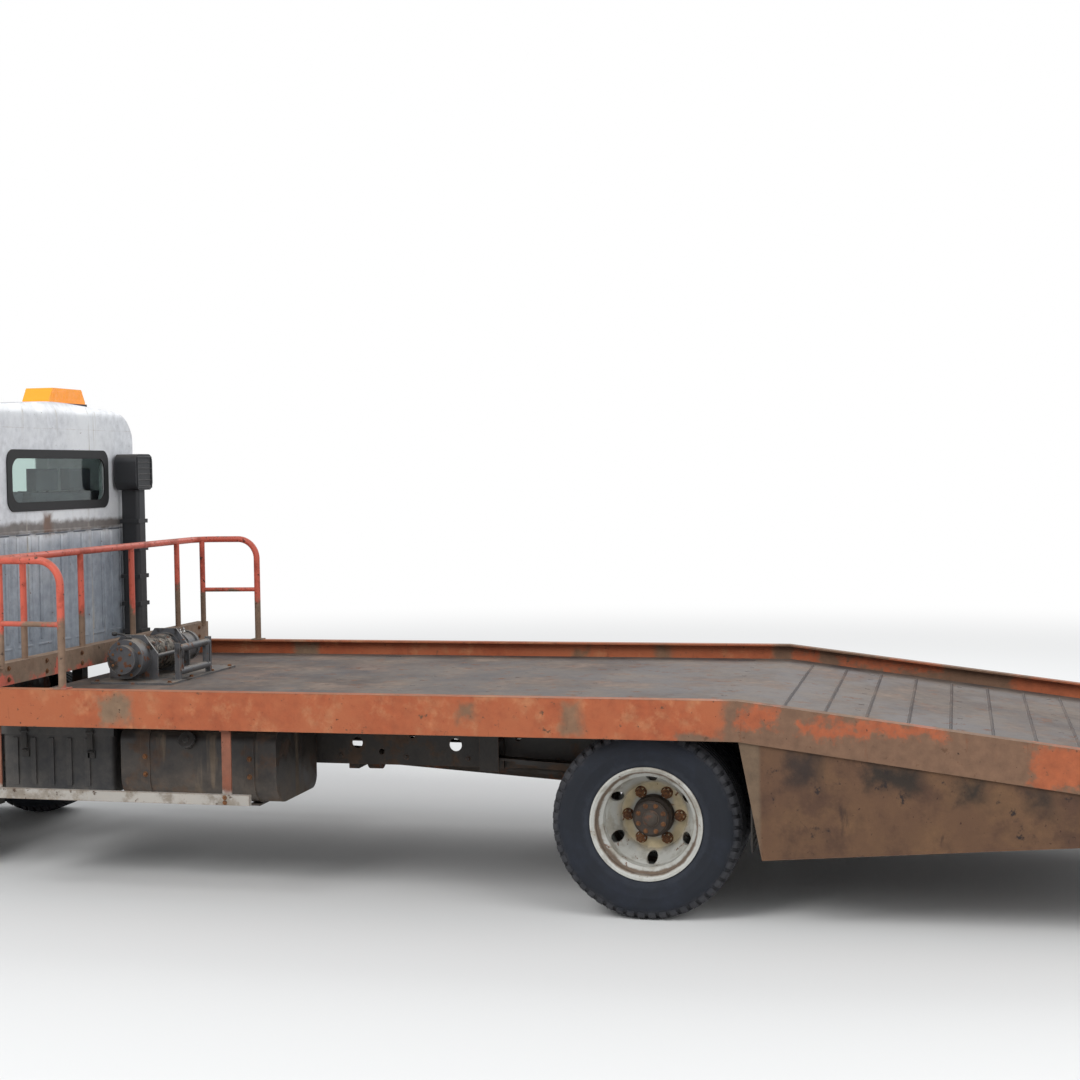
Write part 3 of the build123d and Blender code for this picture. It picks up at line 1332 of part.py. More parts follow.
# What the shell lacks below: the front panel ends high, the sides end at the step,
# and the back ends over the frame.
under_line = outline(
    [
        (CAB_FRONT_X - 50, -50), (CAB_FRONT_X - 50, PANEL_BOTTOM_Z),
        (CAB_FRONT_X + 100, PANEL_BOTTOM_Z), (CAB_FRONT_X + 100, SIDE_BOTTOM_Z),
        (FRONT_AXLE_X, SIDE_BOTTOM_Z), (FRONT_AXLE_X, BACK_BOTTOM_Z),
        (CAB_BACK_X + 50, BACK_BOTTOM_Z), (CAB_BACK_X + 50, -50),
    ]
)
arch_cut = rod((FRONT_AXLE_X, -950, AXLE_Z), (FRONT_AXLE_X, 950, AXLE_Z), ARCH_R)
cab_shell = cab_shell - side_prism(under_line, -1000, 1000) - arch_cut
doorways = side_prism(door_face(DOOR_GAP), -1000, 1000)
screen_hole = front_prism(windscreen_face(0), SCREEN_SPAN_X[0], SCREEN_SPAN_X[1])
rear_hole = front_prism(rear_window_face(0), BACK_SPAN_X[0], BACK_SPAN_X[1])
full_shell = cab_shell
cab_shell = cab_shell - doorways - screen_hole - rear_hole
BACK_SPLIT_X = CAB_BACK_X - 70
FRONT_SPLIT_X = DOOR_FRONT_X - DOOR_GAP


def shell_roof():
    return cab_shell & block(CAB_SPAN_X[0], CAB_SPAN_X[1], -1000, 1000, ROOF_SPLIT_Z, 2400)


def front_region():
    lean_z = SCREEN_FOOT_Z + 20
    top = ROOF_SPLIT_Z
    edge_top = door_edge_x(top) - DOOR_GAP
    return side_prism(
        outline(
            [
                (CAB_SPAN_X[0], 0), (CAB_SPAN_X[0], top), (edge_top, top), (FRONT_SPLIT_X, lean_z),
                (FRONT_SPLIT_X, 0),
            ]
        ),
        -1000, 1000,
    )


HINGE_ZS = [860, 1300]


def pillar_hinge(side, z):
    """The pin and its leaf, fixed to the front pillar."""
    y = side * HINGE_Y
    pin = rod((HINGE_X, y, z - 48), (HINGE_X, y, z + 48), HINGE_PIN_R)
    pieces = [pin]
    for z0, z1 in ((z - 48, z - 20), (z + 20, z + 48)):
        pieces.append(rod((HINGE_X, y, z0), (HINGE_X, y, z1), HINGE_R))
    low_y, high_y = sorted((side * (CAB_HALF_WIDTH - 16), side * (HINGE_Y - 4)))
    for z0, z1 in ((z - 48, z - 20), (z + 20, z + 48)):
        pieces.append(block(HINGE_X - 44, HINGE_X - 4, low_y, high_y, z0, z1))
    return joined(pieces)


def door_hinge(side, z):
    """The knuckle that turns on the pin, and its leaf on the door's skin."""
    y = side * HINGE_Y
    low_y, high_y = sorted((side * (CAB_HALF_WIDTH - 0.5), side * (HINGE_Y - 4)))
    leaf_plate = block(HINGE_X + 6, HINGE_X + 50, low_y, high_y, z - 17, z + 17)
    knuckle_tube = rod((HINGE_X, y, z - 17), (HINGE_X, y, z + 17), HINGE_R)
    bore = rod((HINGE_X, y, z - 18), (HINGE_X, y, z + 18), HINGE_PIN_R + RUN_GAP)
    return (leaf_plate + knuckle_tube) - bore


def cab_front():
    piece = cab_shell & front_region()
    hinges = [pillar_hinge(side, z) for side in (-1, 1) for z in HINGE_ZS]
    return joined([piece] + hinges)


SWAGE_YS = [-665, -475, -285, -95, 95, 285, 475, 665]
SWAGE_Z = (985, 1585)


def cab_back():
    """The back wall with its pressed upright ribs."""
    piece = cab_shell & block(BACK_SPLIT_X, CAB_SPAN_X[1], -1000, 1000, 0, ROOF_SPLIT_Z)
    rise = 7
    ribs = []
    for y in SWAGE_YS:
        rib = outline(
            [
                (CAB_BACK_X - 2, y - 34), (CAB_BACK_X + rise, y - 20),
                (CAB_BACK_X + rise, y + 20), (CAB_BACK_X - 2, y + 34),
            ]
        )
        ribs.append(plan_prism(rib, SWAGE_Z[0], SWAGE_Z[1]))
    return joined([piece] + ribs)


STEP_X = (DOOR_FRONT_X - DOOR_GAP, CAB_FRONT_X + 485)
STEP_Y = (672, 852)


def step_pocket(side):
    """The space for a boot in the cab's lower corner, open outwards."""
    y0, y1 = sorted((side * (STEP_Y[0] + 14), side * (CAB_HALF_WIDTH + 20)))
    return block(STEP_X[0] + 40, STEP_X[1] - 40, y0, y1, SIDE_BOTTOM_Z + 22, 605)


def step_box(side):
    """The tray round a step, seated on the inside of the cab's side."""
    y0, y1 = sorted((side * STEP_Y[0], side * STEP_Y[1]))
    top = DOOR_BOTTOM_Z - DOOR_GAP - 2
    tray = block(STEP_X[0], STEP_X[1], y0, y1, SIDE_BOTTOM_Z, top)
    return (tray & cab_envelope(CAB_WALL + SEAT_GAP)) - step_pocket(side)


def arch_liner(side):
    y0, y1 = sorted((side * 560, side * (CAB_HALF_WIDTH - CAB_WALL - 9)))
    ring = outline(
        [(-470, 222), (-470, 620), (470, 620), (470, 500), (150, 500), (150, 222)]
    )
    hoop = Circle(ARCH_R + 6) - Circle(ARCH_R)
    strip = Pos(FRONT_AXLE_X, AXLE_Z) * (hoop & ring)
    wall_y = CAB_HALF_WIDTH - CAB_WALL - SEAT_GAP
    w0, w1 = sorted((side * 700, side * wall_y))
    behind_door = block(DOOR_REAR_X + 2 * DOOR_GAP, CAB_BACK_X - 60, w0, w1, 0, 1000)
    flange = side_prism(strip, w0, w1) & behind_door
    return joined([side_prism(strip, y0, y1), flange])


def cab_sides():
    """Sills, pillars behind the doors and roof rails, one solid a side."""
    rest = cab_shell & block(CAB_SPAN_X[0], BACK_SPLIT_X, -1000, 1000, 0, ROOF_SPLIT_Z)
    rest = rest - front_region()
    sides = []
    for side in (-1, 1):
        y0, y1 = sorted((side * 1000, side * 300))
        half = rest & block(CAB_SPAN_X[0], CAB_SPAN_X[1], y0, y1, 0, 2400)
        sides.append(half - step_pocket(side))
    return sides


def cab_floor():
    line = outline(
        [
            (CAB_FRONT_X, FOOTWELL_Z - FLOOR_WALL),
            (RISER_X + FLOOR_WALL, FOOTWELL_Z - FLOOR_WALL),
            (RISER_X + FLOOR_WALL, RISER_Z - FLOOR_WALL), (CAB_BACK_X, RISER_Z - FLOOR_WALL),
            (CAB_BACK_X, RISER_Z), (RISER_X, RISER_Z), (RISER_X, FOOTWELL_Z),
            (CAB_FRONT_X, FOOTWELL_Z),
        ]
    )
    floor = side_prism(line, -900, 900) & inner_form
    for side in (-1, 1):
        y0, y1 = sorted((side * (CAB_HALF_WIDTH - CAB_WALL - 9), side * 900))
        floor = floor - block(FRONT_SPLIT_X, DOOR_REAR_X + DOOR_GAP, y0, y1, 600, 1200)
    pieces = [floor]
    for side in (-1, 1):
        low_y, high_y = sorted((side * 385, side * 425))
        arm = outline(
            [
                (TILT_X - 30, TILT_Z - 8), (TILT_X - 8, TILT_Z - 34), (TILT_X + 24, TILT_Z - 24),
                (TILT_X + 110, FOOTWELL_Z - FLOOR_WALL + 2), (TILT_X + 10, FOOTWELL_Z - FLOOR_WALL + 2),
                (TILT_X + 6, PANEL_BOTTOM_Z - 12), (TILT_X - 26, PANEL_BOTTOM_Z - 28),
            ]
        )
        pieces.append(side_prism(arm, low_y, high_y))
    stand_x = (CUSHION_FRONT_X + 20, CUSHION_REAR_X - 10)
    for y0, y1 in SEATS:
        pieces.append(block(*stand_x, y0 + 30, y1 - 30, RISER_Z - 2, RISER_Z + 50))
    whole = joined(pieces)
    bore = rod((TILT_X, -500, TILT_Z), (TILT_X, 500, TILT_Z), TILT_TUBE_R + RUN_GAP)
    return whole - bore


def glass_sheet(hole):
    """The part of a window opening filled by a sheet set into the wall."""
    outer = cab_envelope(GLASS_DEPTH)
    inner = cab_envelope(GLASS_DEPTH + GLASS_WALL)
    return (outer - inner) & hole


def cab_glass():
    screen = glass_sheet(front_prism(windscreen_face(-SEAT_GAP), *SCREEN_SPAN_X))
    rear = glass_sheet(front_prism(rear_window_face(-SEAT_GAP), *BACK_SPAN_X))
    return [screen, rear]


def window_seals():
    """The rubber frames that hold the screen and the rear window."""
    proud = cab_envelope(-SEAL_PROUD) - cab_envelope(-SEAT_GAP)
    screen = front_prism(windscreen_face(22) - windscreen_face(-14), *SCREEN_SPAN_X)
    rear = front_prism(rear_window_face(SEAL_WIDTH) - rear_window_face(-16), *BACK_SPAN_X)
    return [proud & screen, proud & rear]


def grille():
    frame_z = (690, 850)
    x_back = CAB_FRONT_X + 1
    hood = cab_envelope(-14) - cab_envelope(-SEAT_GAP)
    frame = front_prism(
        outline(
            [(-520, frame_z[0]), (520, frame_z[0]), (520, frame_z[1]), (-520, frame_z[1])], radius=20
        ),
        x_back - 60, x_back + 60,
    )
    gaps = [
        front_prism(
            outline([(-500, z), (500, z), (500, z + 18), (-500, z + 18)]), x_back - 70, x_back + 70
        )
        for z in range(712, 830, 31)
    ]
    frame = frame & hood
    back = cab_envelope(-5) - cab_envelope(-SEAT_GAP)
    backing = back & front_prism(
        outline([(-515, 695), (515, 695), (515, 845), (-515, 845)]), x_back - 60, x_back + 60
    )
    return joined([frame - gaps, backing])


def headlamps():
    hood = cab_envelope(-12) - cab_envelope(-SEAT_GAP)
    lamps = []
    for side in (-1, 1):
        y0, y1 = sorted((side * 545, side * 810))
        face = outline([(y0, 670), (y1, 670), (y1, 850), (y0, 850)], radius=24)
        lamps.append(hood & front_prism(face, CAB_FRONT_X - 60, CAB_FRONT_X + 140))
    return lamps


WHEEL_CENTRE = (CAB_FRONT_X + 550, -400, 1400)
COLUMN_TILT = 35
STEERING_R = 210


def column_point(distance):
    """A point on the steering column's line, below the wheel's centre."""
    x, y, z = WHEEL_CENTRE
    a = radians(COLUMN_TILT)
    return (x - distance * sin(a), y, z - distance * cos(a))


def dashboard():
    line = outline(
        [
            (CAB_FRONT_X + 10, 1060), (CAB_FRONT_X + 300, 1060), (CAB_FRONT_X + 370, 1180),
            (CAB_FRONT_X + 400, 1290), (CAB_FRONT_X + 360, 1370), (CAB_FRONT_X + 220, 1405),
            (CAB_FRONT_X + 10, 1405),
        ],
        radius=[0, 30, 60, 40, 40, 0, 0],
    )
    inner = cab_envelope(CAB_WALL + SEAT_GAP)
    dash = side_prism(line, -CAB_HALF_WIDTH + 58, CAB_HALF_WIDTH - 58) & inner
    cluster = block(CAB_FRONT_X + 280, CAB_FRONT_X + 410, -560, -240, 1340, 1430)
    column = rod(column_point(70), column_point(480), 36)
    bore = rod(column_point(60), column_point(140), 11 + RUN_GAP)
    return joined([dash, cluster, column]) - bore


def steering_wheel():
    """Rim, three spokes, hub and shaft."""
    place = Plane(origin=WHEEL_CENTRE, x_dir=(0, 1, 0), z_dir=Vector(*WHEEL_CENTRE) - Vector(*column_point(1)))
    ring = Torus(STEERING_R - 14, 14)
    boss = Cylinder(38, 40)
    spokes = [
        Rot(0, 0, a) * block(20, STEERING_R - 14, -14, 14, -8, 4) for a in (90, 210, 330)
    ]
    shaft = Pos(0, 0, -65) * Cylinder(11, 130)
    return place * joined([ring, boss, shaft] + spokes)


SEATS = [(-640, -160), (-90, 640)]
CUSHION_FRONT_X = CAB_FRONT_X + 800
CUSHION_REAR_X = CAB_FRONT_X + 1270


def seat_cushions():
    cushions = []
    for y0, y1 in SEATS:
        pad = block(
            CUSHION_FRONT_X, CUSHION_REAR_X, y0, y1, RISER_Z + 50 + SEAT_GAP, RISER_Z + 170,
        )
        cushions.append(fillet(pad.edges(), 28))
    return cushions


def seat_backs():
    backs = []
    for y0, y1 in SEATS:
        line = outline(
            [
                (CUSHION_REAR_X + SEAT_GAP, 1110), (CUSHION_REAR_X + 120, 1110),
                (CUSHION_REAR_X + 195, 1790), (CUSHION_REAR_X + 100, 1800),
                (CUSHION_REAR_X + SEAT_GAP, 1165),
            ],
            radius=[20, 20, 30, 30, 0],
        )
        pad = side_prism(line, y0, y1)
        rests = [(y0 + y1) / 2] if y1 - y0 < 600 else [y0 + 190, y1 - 190]
        for y in rests:
            x0, x1 = CUSHION_REAR_X + 95, CUSHION_REAR_X + 185
            head = block(x0, x1, y - 120, y + 120, 1770, 1915)
            pad = pad + fillet(head.edges().filter_by(Axis.X), 40)
        backs.append(pad)
    return backs


def mirrors():
    pieces = []
    for side in (-1, 1):
        foot = (CAB_FRONT_X + 75, side * (CAB_HALF_WIDTH - 22), 1480)
        arm_x = CAB_FRONT_X + 50
        arm_y = side * (CAB_HALF_WIDTH + 90)
        head_y = side * (CAB_HALF_WIDTH + 200)
        arm = tube_run(
            [foot, (arm_x, arm_y, 1480), (arm_x, head_y, 1560), (arm_x, head_y, 1800)], 11, 40
        )
        y0, y1 = head_y - 82, head_y + 82
        head = block(arm_x - 38, arm_x + 18, y0, y1, 1560, 1890)
        head = fillet(head.edges().filter_by(Axis.X), 30)
        pieces.append(joined([arm, head]) - outer_form)
    return pieces


def beacon():
    """An amber light box on the rear edge of the roof, tapered at both ends."""
    x0, x1 = CAB_BACK_X - 200, CAB_BACK_X - 50
    lens = outline([(0, 2200), (380, 2200), (380, 2262), (340, 2325), (40, 2325), (0, 2262)])
    box = front_prism(lens, x0, x1)
    base = block(x0 - 6, x1 + 6, -8, 388, 2200, 2250)
    return joined([box, base]) - cab_envelope(-SEAT_GAP)


def door(side):
    y0, y1 = sorted((side * 1000, side * 500))
    panel = full_shell & side_prism(door_face(0), y0, y1)
    panel = panel - side_prism(side_window_face(0), y0, y1)
    handle_y = sorted((side * (CAB_HALF_WIDTH - 1), side * (CAB_HALF_WIDTH + 26)))
    grip_x = (DOOR_REAR_X - 185, DOOR_REAR_X - 65)
    grip = block(*grip_x, handle_y[0], handle_y[1], 1265, 1295)
    grip_gap_y = sorted((side * CAB_HALF_WIDTH, side * (CAB_HALF_WIDTH + 16)))
    grip = grip - block(grip_x[0] + 15, grip_x[1] - 15, grip_gap_y[0], grip_gap_y[1], 1260, 1300)
    hinges = [door_hinge(side, z) for z in HINGE_ZS]
    return joined([panel, grip] + hinges)


def door_glass(side):
    y0, y1 = sorted((side * 1000, side * 500))
    return glass_sheet(side_prism(side_window_face(-SEAT_GAP), y0, y1))


# Nodes
save("side_rails", both_sides(side_rail()))
save("deck_plate", [deck_plate()])
save("platform_runners", both_sides(platform_runner()))
save("platform_bearers", platform_bearers())
save("tail_panels", [tail_panels()])
save("ramps", [ramp(-RAMP_Y), ramp(RAMP_Y)])
save("headboard", [headboard()])
save("winch", [winch()])
save("winch_drum", [winch_drum()])
save("frame_rails", both_sides(frame_rail()))
save("cross_members", cross_members())
save("spring_hangers", spring_hangers())
save("side_brackets", side_brackets())
save("leaf_springs", leaf_springs())
save("rear_axle", [rear_axle()])
save("front_axle", [front_axle()])
save("engine_block", [engine_block()])
save("driveline", [driveline()])
save("fuel_tank", [fuel_tank()])
save("battery_box", [battery_box()])
save("air_tanks", [air_tanks()])
save("side_guards", both_sides(side_guard()))
save("mudflaps", mudflaps())
save("bumper", [bumper()])
save("air_intake", [air_intake()])
save("exhaust", [exhaust()])
save("rear_lamps", rear_lamps())

save("knuckle_left", [knuckle(-1)])
save("knuckle_right", [knuckle(1)])
save("tie_rod", [tie_rod()])
for side_name, side in (("left", -1), ("right", 1)):
    save(f"tyre_front_{side_name}", [on_side(Pos(0, FRONT_TYRE_Y, 0) * tyre(), side, FRONT_AXLE_X)])
    save(f"rim_front_{side_name}", [on_side(front_rim(), side, FRONT_AXLE_X)])
    twin = [
        on_side(Pos(0, y, 0) * tyre(), side, REAR_AXLE_X)
        for y in (REAR_OUTER_TYRE_Y, REAR_INNER_TYRE_Y)
    ]
    save(f"tyres_rear_{side_name}", twin)
    save(f"rims_rear_{side_name}", [on_side(rear_rims(), side, REAR_AXLE_X)])
    save(f"door_{side_name}", [door(side)])
    save(f"door_glass_{side_name}", [door_glass(side)])

save("cab_floor", [cab_floor()])
save("cab_back", [cab_back()])
save("cab_sides", cab_sides())
save("cab_steps", [step_box(-1), step_box(1)])
save("cab_roof", [shell_roof()])
save("cab_front", [cab_front()])
save("cab_glass", cab_glass())
save("window_seals", window_seals())
save("grille", [grille()])
save("headlamps", headlamps())
save("dashboard", [dashboard()])
save("steering_wheel", [steering_wheel()])
save("seat_cushions", seat_cushions())
save("seat_backs", seat_backs())
save("mirrors", mirrors())
save("beacon", [beacon()])
save("arch_liners", [arch_liner(-1), arch_liner(1)])
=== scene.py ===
"""Looks of the flatbed tow truck: finishes for its solid parts, and the detail that sits on them.

Metres. +X runs rearwards, -Y is the truck's left side, +Z is up.
"""

from math import cos, pi, radians, sin, tau

import bpy
from mathutils import Matrix, Vector

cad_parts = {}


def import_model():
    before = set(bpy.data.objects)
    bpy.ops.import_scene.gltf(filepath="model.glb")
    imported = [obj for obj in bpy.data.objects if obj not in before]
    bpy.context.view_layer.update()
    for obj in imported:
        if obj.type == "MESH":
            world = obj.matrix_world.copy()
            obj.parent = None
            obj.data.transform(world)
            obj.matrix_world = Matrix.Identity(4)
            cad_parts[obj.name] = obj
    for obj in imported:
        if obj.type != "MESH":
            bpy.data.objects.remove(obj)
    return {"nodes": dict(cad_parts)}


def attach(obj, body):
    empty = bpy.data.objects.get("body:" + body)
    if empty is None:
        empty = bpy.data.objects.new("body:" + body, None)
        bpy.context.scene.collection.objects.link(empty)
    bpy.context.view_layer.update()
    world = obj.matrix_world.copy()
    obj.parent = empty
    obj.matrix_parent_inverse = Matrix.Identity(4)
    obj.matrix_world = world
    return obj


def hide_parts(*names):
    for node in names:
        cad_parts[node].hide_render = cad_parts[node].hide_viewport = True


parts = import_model()["nodes"]
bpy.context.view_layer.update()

# Places that several pieces share
REAR_AXLE_X = 1.07
FRONT_AXLE_X = -2.68
AXLE_Z = 0.399
REAR_OUTER_TYRE_Y = 0.958
REAR_INNER_TYRE_Y = 0.696
FRONT_TYRE_Y = 0.73
SIDES = (("left", -1), ("right", 1))
BOTH = (-1, 1)

# Camera, at the photograph's place and angle
bpy.ops.object.camera_add(location=(2.327, -8.11, 1.871))
camera = bpy.context.object
camera.name = "photo_camera"
camera.rotation_euler = (radians(87.68), radians(0.83), radians(13.42))
camera.data.lens = 58.2
camera.data.sensor_width = 36
camera.data.clip_end = 200
bpy.context.scene.camera = camera


# Shader nodes
def tone(red, green, blue):
    """A colour given as it looks on screen."""
    return tuple((c / 255) ** 2.2 for c in (red, green, blue)) + (1.0,)


def feed(tree, value, socket):
    """Links a value from another node, or sets it."""
    if isinstance(value, bpy.types.NodeSocket):
        tree.links.new(value, socket)
    else:
        socket.default_value = value


def math_node(tree, operation, *values, clamp=False):
    node = tree.nodes.new("ShaderNodeMath")
    node.operation = operation
    node.use_clamp = clamp
    for value, socket in zip(values, node.inputs):
        feed(tree, value, socket)
    return node.outputs[0]


def vector_node(tree, operation, first, second=None):
    node = tree.nodes.new("ShaderNodeVectorMath")
    node.operation = operation
    feed(tree, first, node.inputs[0])
    if second is not None:
        feed(tree, second, node.inputs["Scale" if operation == "SCALE" else 1])
    return node.outputs["Value" if operation in ("DOT_PRODUCT", "LENGTH") else "Vector"]


def split_xyz(tree, vector):
    node = tree.nodes.new("ShaderNodeSeparateXYZ")
    tree.links.new(vector, node.inputs[0])
    return node.outputs


def step_up(tree, value, low, high):
    """0 below low, 1 above high, eased between."""
    node = tree.nodes.new("ShaderNodeMapRange")
    node.interpolation_type = "SMOOTHSTEP"
    for label, edge in (("Value", value), ("From Min", low), ("From Max", high)):
        feed(tree, edge, node.inputs[label])
    return node.outputs["Result"]


def noise(tree, vector, scale, detail, rough, output="Fac"):
    node = tree.nodes.new("ShaderNodeTexNoise")
    values = {"Vector": vector, "Scale": scale, "Detail": detail, "Roughness": rough}
    for label, value in values.items():
        feed(tree, value, node.inputs[label])
    return node.outputs[output]


def real_normal(tree):
    return tree.nodes.new("ShaderNodeNewGeometry").outputs["Normal"]


def mixed(tree, kind, mask, first, second):
    """First where the mask is 0, second where it is 1."""
    mix = tree.nodes.new("ShaderNodeMix")
    mix.data_type = kind
    for label, value in (("Factor", mask), ("A", first), ("B", second)):
        feed(tree, value, mix.inputs[label])
    return mix.outputs["Result"]


# Shared shader groups, each with a Vector input, its own inputs and one output
SOCKET_KINDS = {1: "NodeSocketFloat", 3: "NodeSocketVector", 4: "NodeSocketColor"}
NOISE_HIGH, NOISE_SPAN = 0.72, 0.44
MIDDLE = 0.5
groups = {}


def new_group(name, result="Mask", length=1, **inputs):
    """An empty group: its tree, its input sockets and the socket that takes its result."""
    tree = groups[name] = bpy.data.node_groups.new(name, "ShaderNodeTree")
    tree.interface.new_socket("Vector", in_out="INPUT", socket_type=SOCKET_KINDS[3])
    for label, value in inputs.items():
        kind = SOCKET_KINDS[len(value) if isinstance(value, tuple) else 1]
        socket = tree.interface.new_socket(label, in_out="INPUT", socket_type=kind)
        socket.default_value = value
    tree.interface.new_socket(result, in_out="OUTPUT", socket_type=SOCKET_KINDS[length])
    start = tree.nodes.new("NodeGroupInput").outputs
    return tree, start, tree.nodes.new("NodeGroupOutput").inputs[result]


def place_group(tree, name, vector, **values):
    node = tree.nodes.new("ShaderNodeGroup")
    node.node_tree = groups[name]
    for label, value in {"Vector": vector, **values}.items():
        feed(tree, value, node.inputs[label])
    return node.outputs[0]


def level_for(tree, cover):
    """The noise level over which the wanted cover lies."""
    return math_node(tree, "SUBTRACT", NOISE_HIGH, math_node(tree, "MULTIPLY", cover, NOISE_SPAN))


def swing(tree, grain, amount):
    """Noise moved to run either way from 0, by an amount."""
    return math_node(tree, "MULTIPLY", math_node(tree, "SUBTRACT", grain, MIDDLE), amount)


def product(tree, first, second, third):
    return math_node(tree, "MULTIPLY", math_node(tree, "MULTIPLY", first, second), third)


def build_worn_patches():
    """Ragged islands, more of them as Cover rises."""
    tree, start, end = new_group("worn_patches", Scale=5.0, Cover=0.4, Soft=0.02)
    grain = noise(tree, start["Vector"], start["Scale"], 9.0, 0.66)
    limit = level_for(tree, start["Cover"])
    low = math_node(tree, "SUBTRACT", limit, start["Soft"])
    high = math_node(tree, "ADD", limit, start["Soft"])
    tree.links.new(step_up(tree, grain, low, high), end)


def build_edge_wear():
    """Rubbed corners, found where a rounded normal leaves the real one."""
    tree, start, end = new_group("edge_wear", Radius=0.006, Amount=0.5, Scale=14.0)
    rounded = tree.nodes.new("ShaderNodeBevel")
    rounded.samples = 4
    tree.links.new(start["Radius"], rounded.inputs["Radius"])
    agreement = vector_node(
        tree, "DOT_PRODUCT", rounded.outputs["Normal"], real_normal(tree),
    )
    turn = math_node(tree, "SUBTRACT", 1.0, agreement)
    grain = noise(tree, start["Vector"], start["Scale"], 6.0, 0.7)
    broken = step_up(tree, grain, 0.35, 0.62)
    corner = math_node(tree, "MULTIPLY", turn, 14.0, clamp=True)
    rubbed = math_node(tree, "MULTIPLY", corner, broken)
    tree.links.new(math_node(tree, "MULTIPLY", rubbed, start["Amount"], clamp=True), end)


def build_road_dust():
    """Dirt thrown up from below, and dust that settles on what faces up."""
    tree, start, end = new_group(
        "road_dust", Low=0.3, High=1.0, Amount=0.6, Up=0.4, Scale=6.0,
    )
    height = split_xyz(tree, start["Vector"])["Z"]
    below = math_node(tree, "SUBTRACT", 1.0, step_up(tree, height, start["Low"], start["High"]))
    grain = noise(tree, start["Vector"], start["Scale"], 8.0, 0.7)
    cloud = step_up(tree, grain, 0.25, 0.75)
    thrown = product(tree, below, cloud, start["Amount"])
    upward = split_xyz(tree, real_normal(tree))["Z"]
    settled = product(tree, step_up(tree, upward, 0.35, 0.95), cloud, start["Up"])
    tree.links.new(math_node(tree, "MAXIMUM", thrown, settled), end)


def build_runs():
    """Vertical streaks that rain and rust leave."""
    tree, start, end = new_group("runs", Scale=22.0, Cover=0.4, Length=0.06)
    split = split_xyz(tree, start["Vector"])
    drawn = tree.nodes.new("ShaderNodeCombineXYZ")
    shortened = math_node(tree, "MULTIPLY", split["Z"], start["Length"])
    for axis, value in (("X", split["X"]), ("Y", split["Y"]), ("Z", shortened)):
        tree.links.new(value, drawn.inputs[axis])
    grain = noise(tree, drawn.outputs[0], start["Scale"], 5.0, 0.6)
    limit = level_for(tree, start["Cover"])
    tree.links.new(step_up(tree, grain, limit, math_node(tree, "ADD", limit, 0.12)), end)


def build_bounded_area():
    """1 inside a box in space, with an edge that noise makes ragged."""
    tree, start, end = new_group(
        "bounded_area", Lowest=(0, 0, 0), Highest=(0, 0, 0), Ragged=0.05, Soft=0.02, Scale=9.0,
    )
    cloud = noise(tree, start["Vector"], start["Scale"], 8.0, 0.65, "Color")
    centred = vector_node(tree, "SUBTRACT", cloud, (MIDDLE, MIDDLE, MIDDLE))
    pushed = vector_node(tree, "SCALE", centred, start["Ragged"])
    warped = vector_node(tree, "ADD", start["Vector"], pushed)
    room = None
    for first, second in ((warped, start["Lowest"]), (start["Highest"], warped)):
        gap = split_xyz(tree, vector_node(tree, "SUBTRACT", first, second))
        for axis in "XYZ":
            room = gap[axis] if room is None else math_node(tree, "MINIMUM", room, gap[axis])
    tree.links.new(step_up(tree, room, 0.0, start["Soft"]), end)


def build_ring_area():
    """1 between two radii about the Y axis of the vector's origin."""
    tree, start, end = new_group(
        "ring_area", Inner=0.0, Outer=0.1, Ragged=0.02, Soft=0.01, Scale=18.0,
    )
    split = split_xyz(tree, start["Vector"])
    squares = [math_node(tree, "MULTIPLY", split[axis], split[axis]) for axis in "XZ"]
    radius = math_node(tree, "SQRT", math_node(tree, "ADD", *squares))
    grain = noise(tree, start["Vector"], start["Scale"], 6.0, 0.6)
    radius = math_node(tree, "ADD", radius, swing(tree, grain, start["Ragged"]))
    out_of_inner = math_node(tree, "SUBTRACT", radius, start["Inner"])
    in_outer = math_node(tree, "SUBTRACT", start["Outer"], radius)
    room = math_node(tree, "MINIMUM", out_of_inner, in_outer)
    tree.links.new(step_up(tree, room, 0.0, start["Soft"]), end)


def build_tone_shift():
    """The same paint, lighter and darker in slow clouds."""
    tree, start, end = new_group(
        "tone_shift", "Color", 4, Color=(0.5, 0.5, 0.5, 1), Amount=0.2, Scale=3.0,
    )
    grain = noise(tree, start["Vector"], start["Scale"], 7.0, 0.6)
    change = math_node(tree, "MULTIPLY", swing(tree, grain, start["Amount"]), 3.0)
    level = math_node(tree, "ADD", 1.0, change)
    tree.links.new(vector_node(tree, "SCALE", start["Color"], level), end)


def build_relief():
    """Height for the bump: fine grain over slow unevenness."""
    tree, start, end = new_group("relief", "Height", Fine=300.0, Slow=12.0)
    fine = noise(tree, start["Vector"], start["Fine"], 4.0, 0.6)
    slow = noise(tree, start["Vector"], start["Slow"], 5.0, 0.6)
    tree.links.new(math_node(tree, "ADD", math_node(tree, "MULTIPLY", fine, 0.25), slow), end)


for build in (
    build_worn_patches, build_edge_wear, build_road_dust, build_runs,
    build_bounded_area, build_ring_area, build_tone_shift, build_relief,
):
    build()


# Layers of a finish: mask group, paint, roughness, metal and the mask's own values
def patches(paint, rough, scale, cover, soft, metal=0.0):
    return "worn_patches", paint, rough, metal, dict(Scale=scale, Cover=cover, Soft=soft)


def area(paint, rough, x, y, z, ragged, soft, scale=9.0, metal=0.0):
    """A patch inside the spans x, y and z."""
    low, high = zip(x, y, z)
    values = dict(Lowest=low, Highest=high, Ragged=ragged, Soft=soft, Scale=scale)
    return "bounded_area", paint, rough, metal, values


def ring(paint, rough, inner, outer, ragged, soft, metal=0.0):
    values = dict(Inner=inner, Outer=outer, Ragged=ragged, Soft=soft)
    return "ring_area", paint, rough, metal, values


def runs(paint, rough, scale, cover, length):
    return "runs", paint, rough, 0.0, dict(Scale=scale, Cover=cover, Length=length)


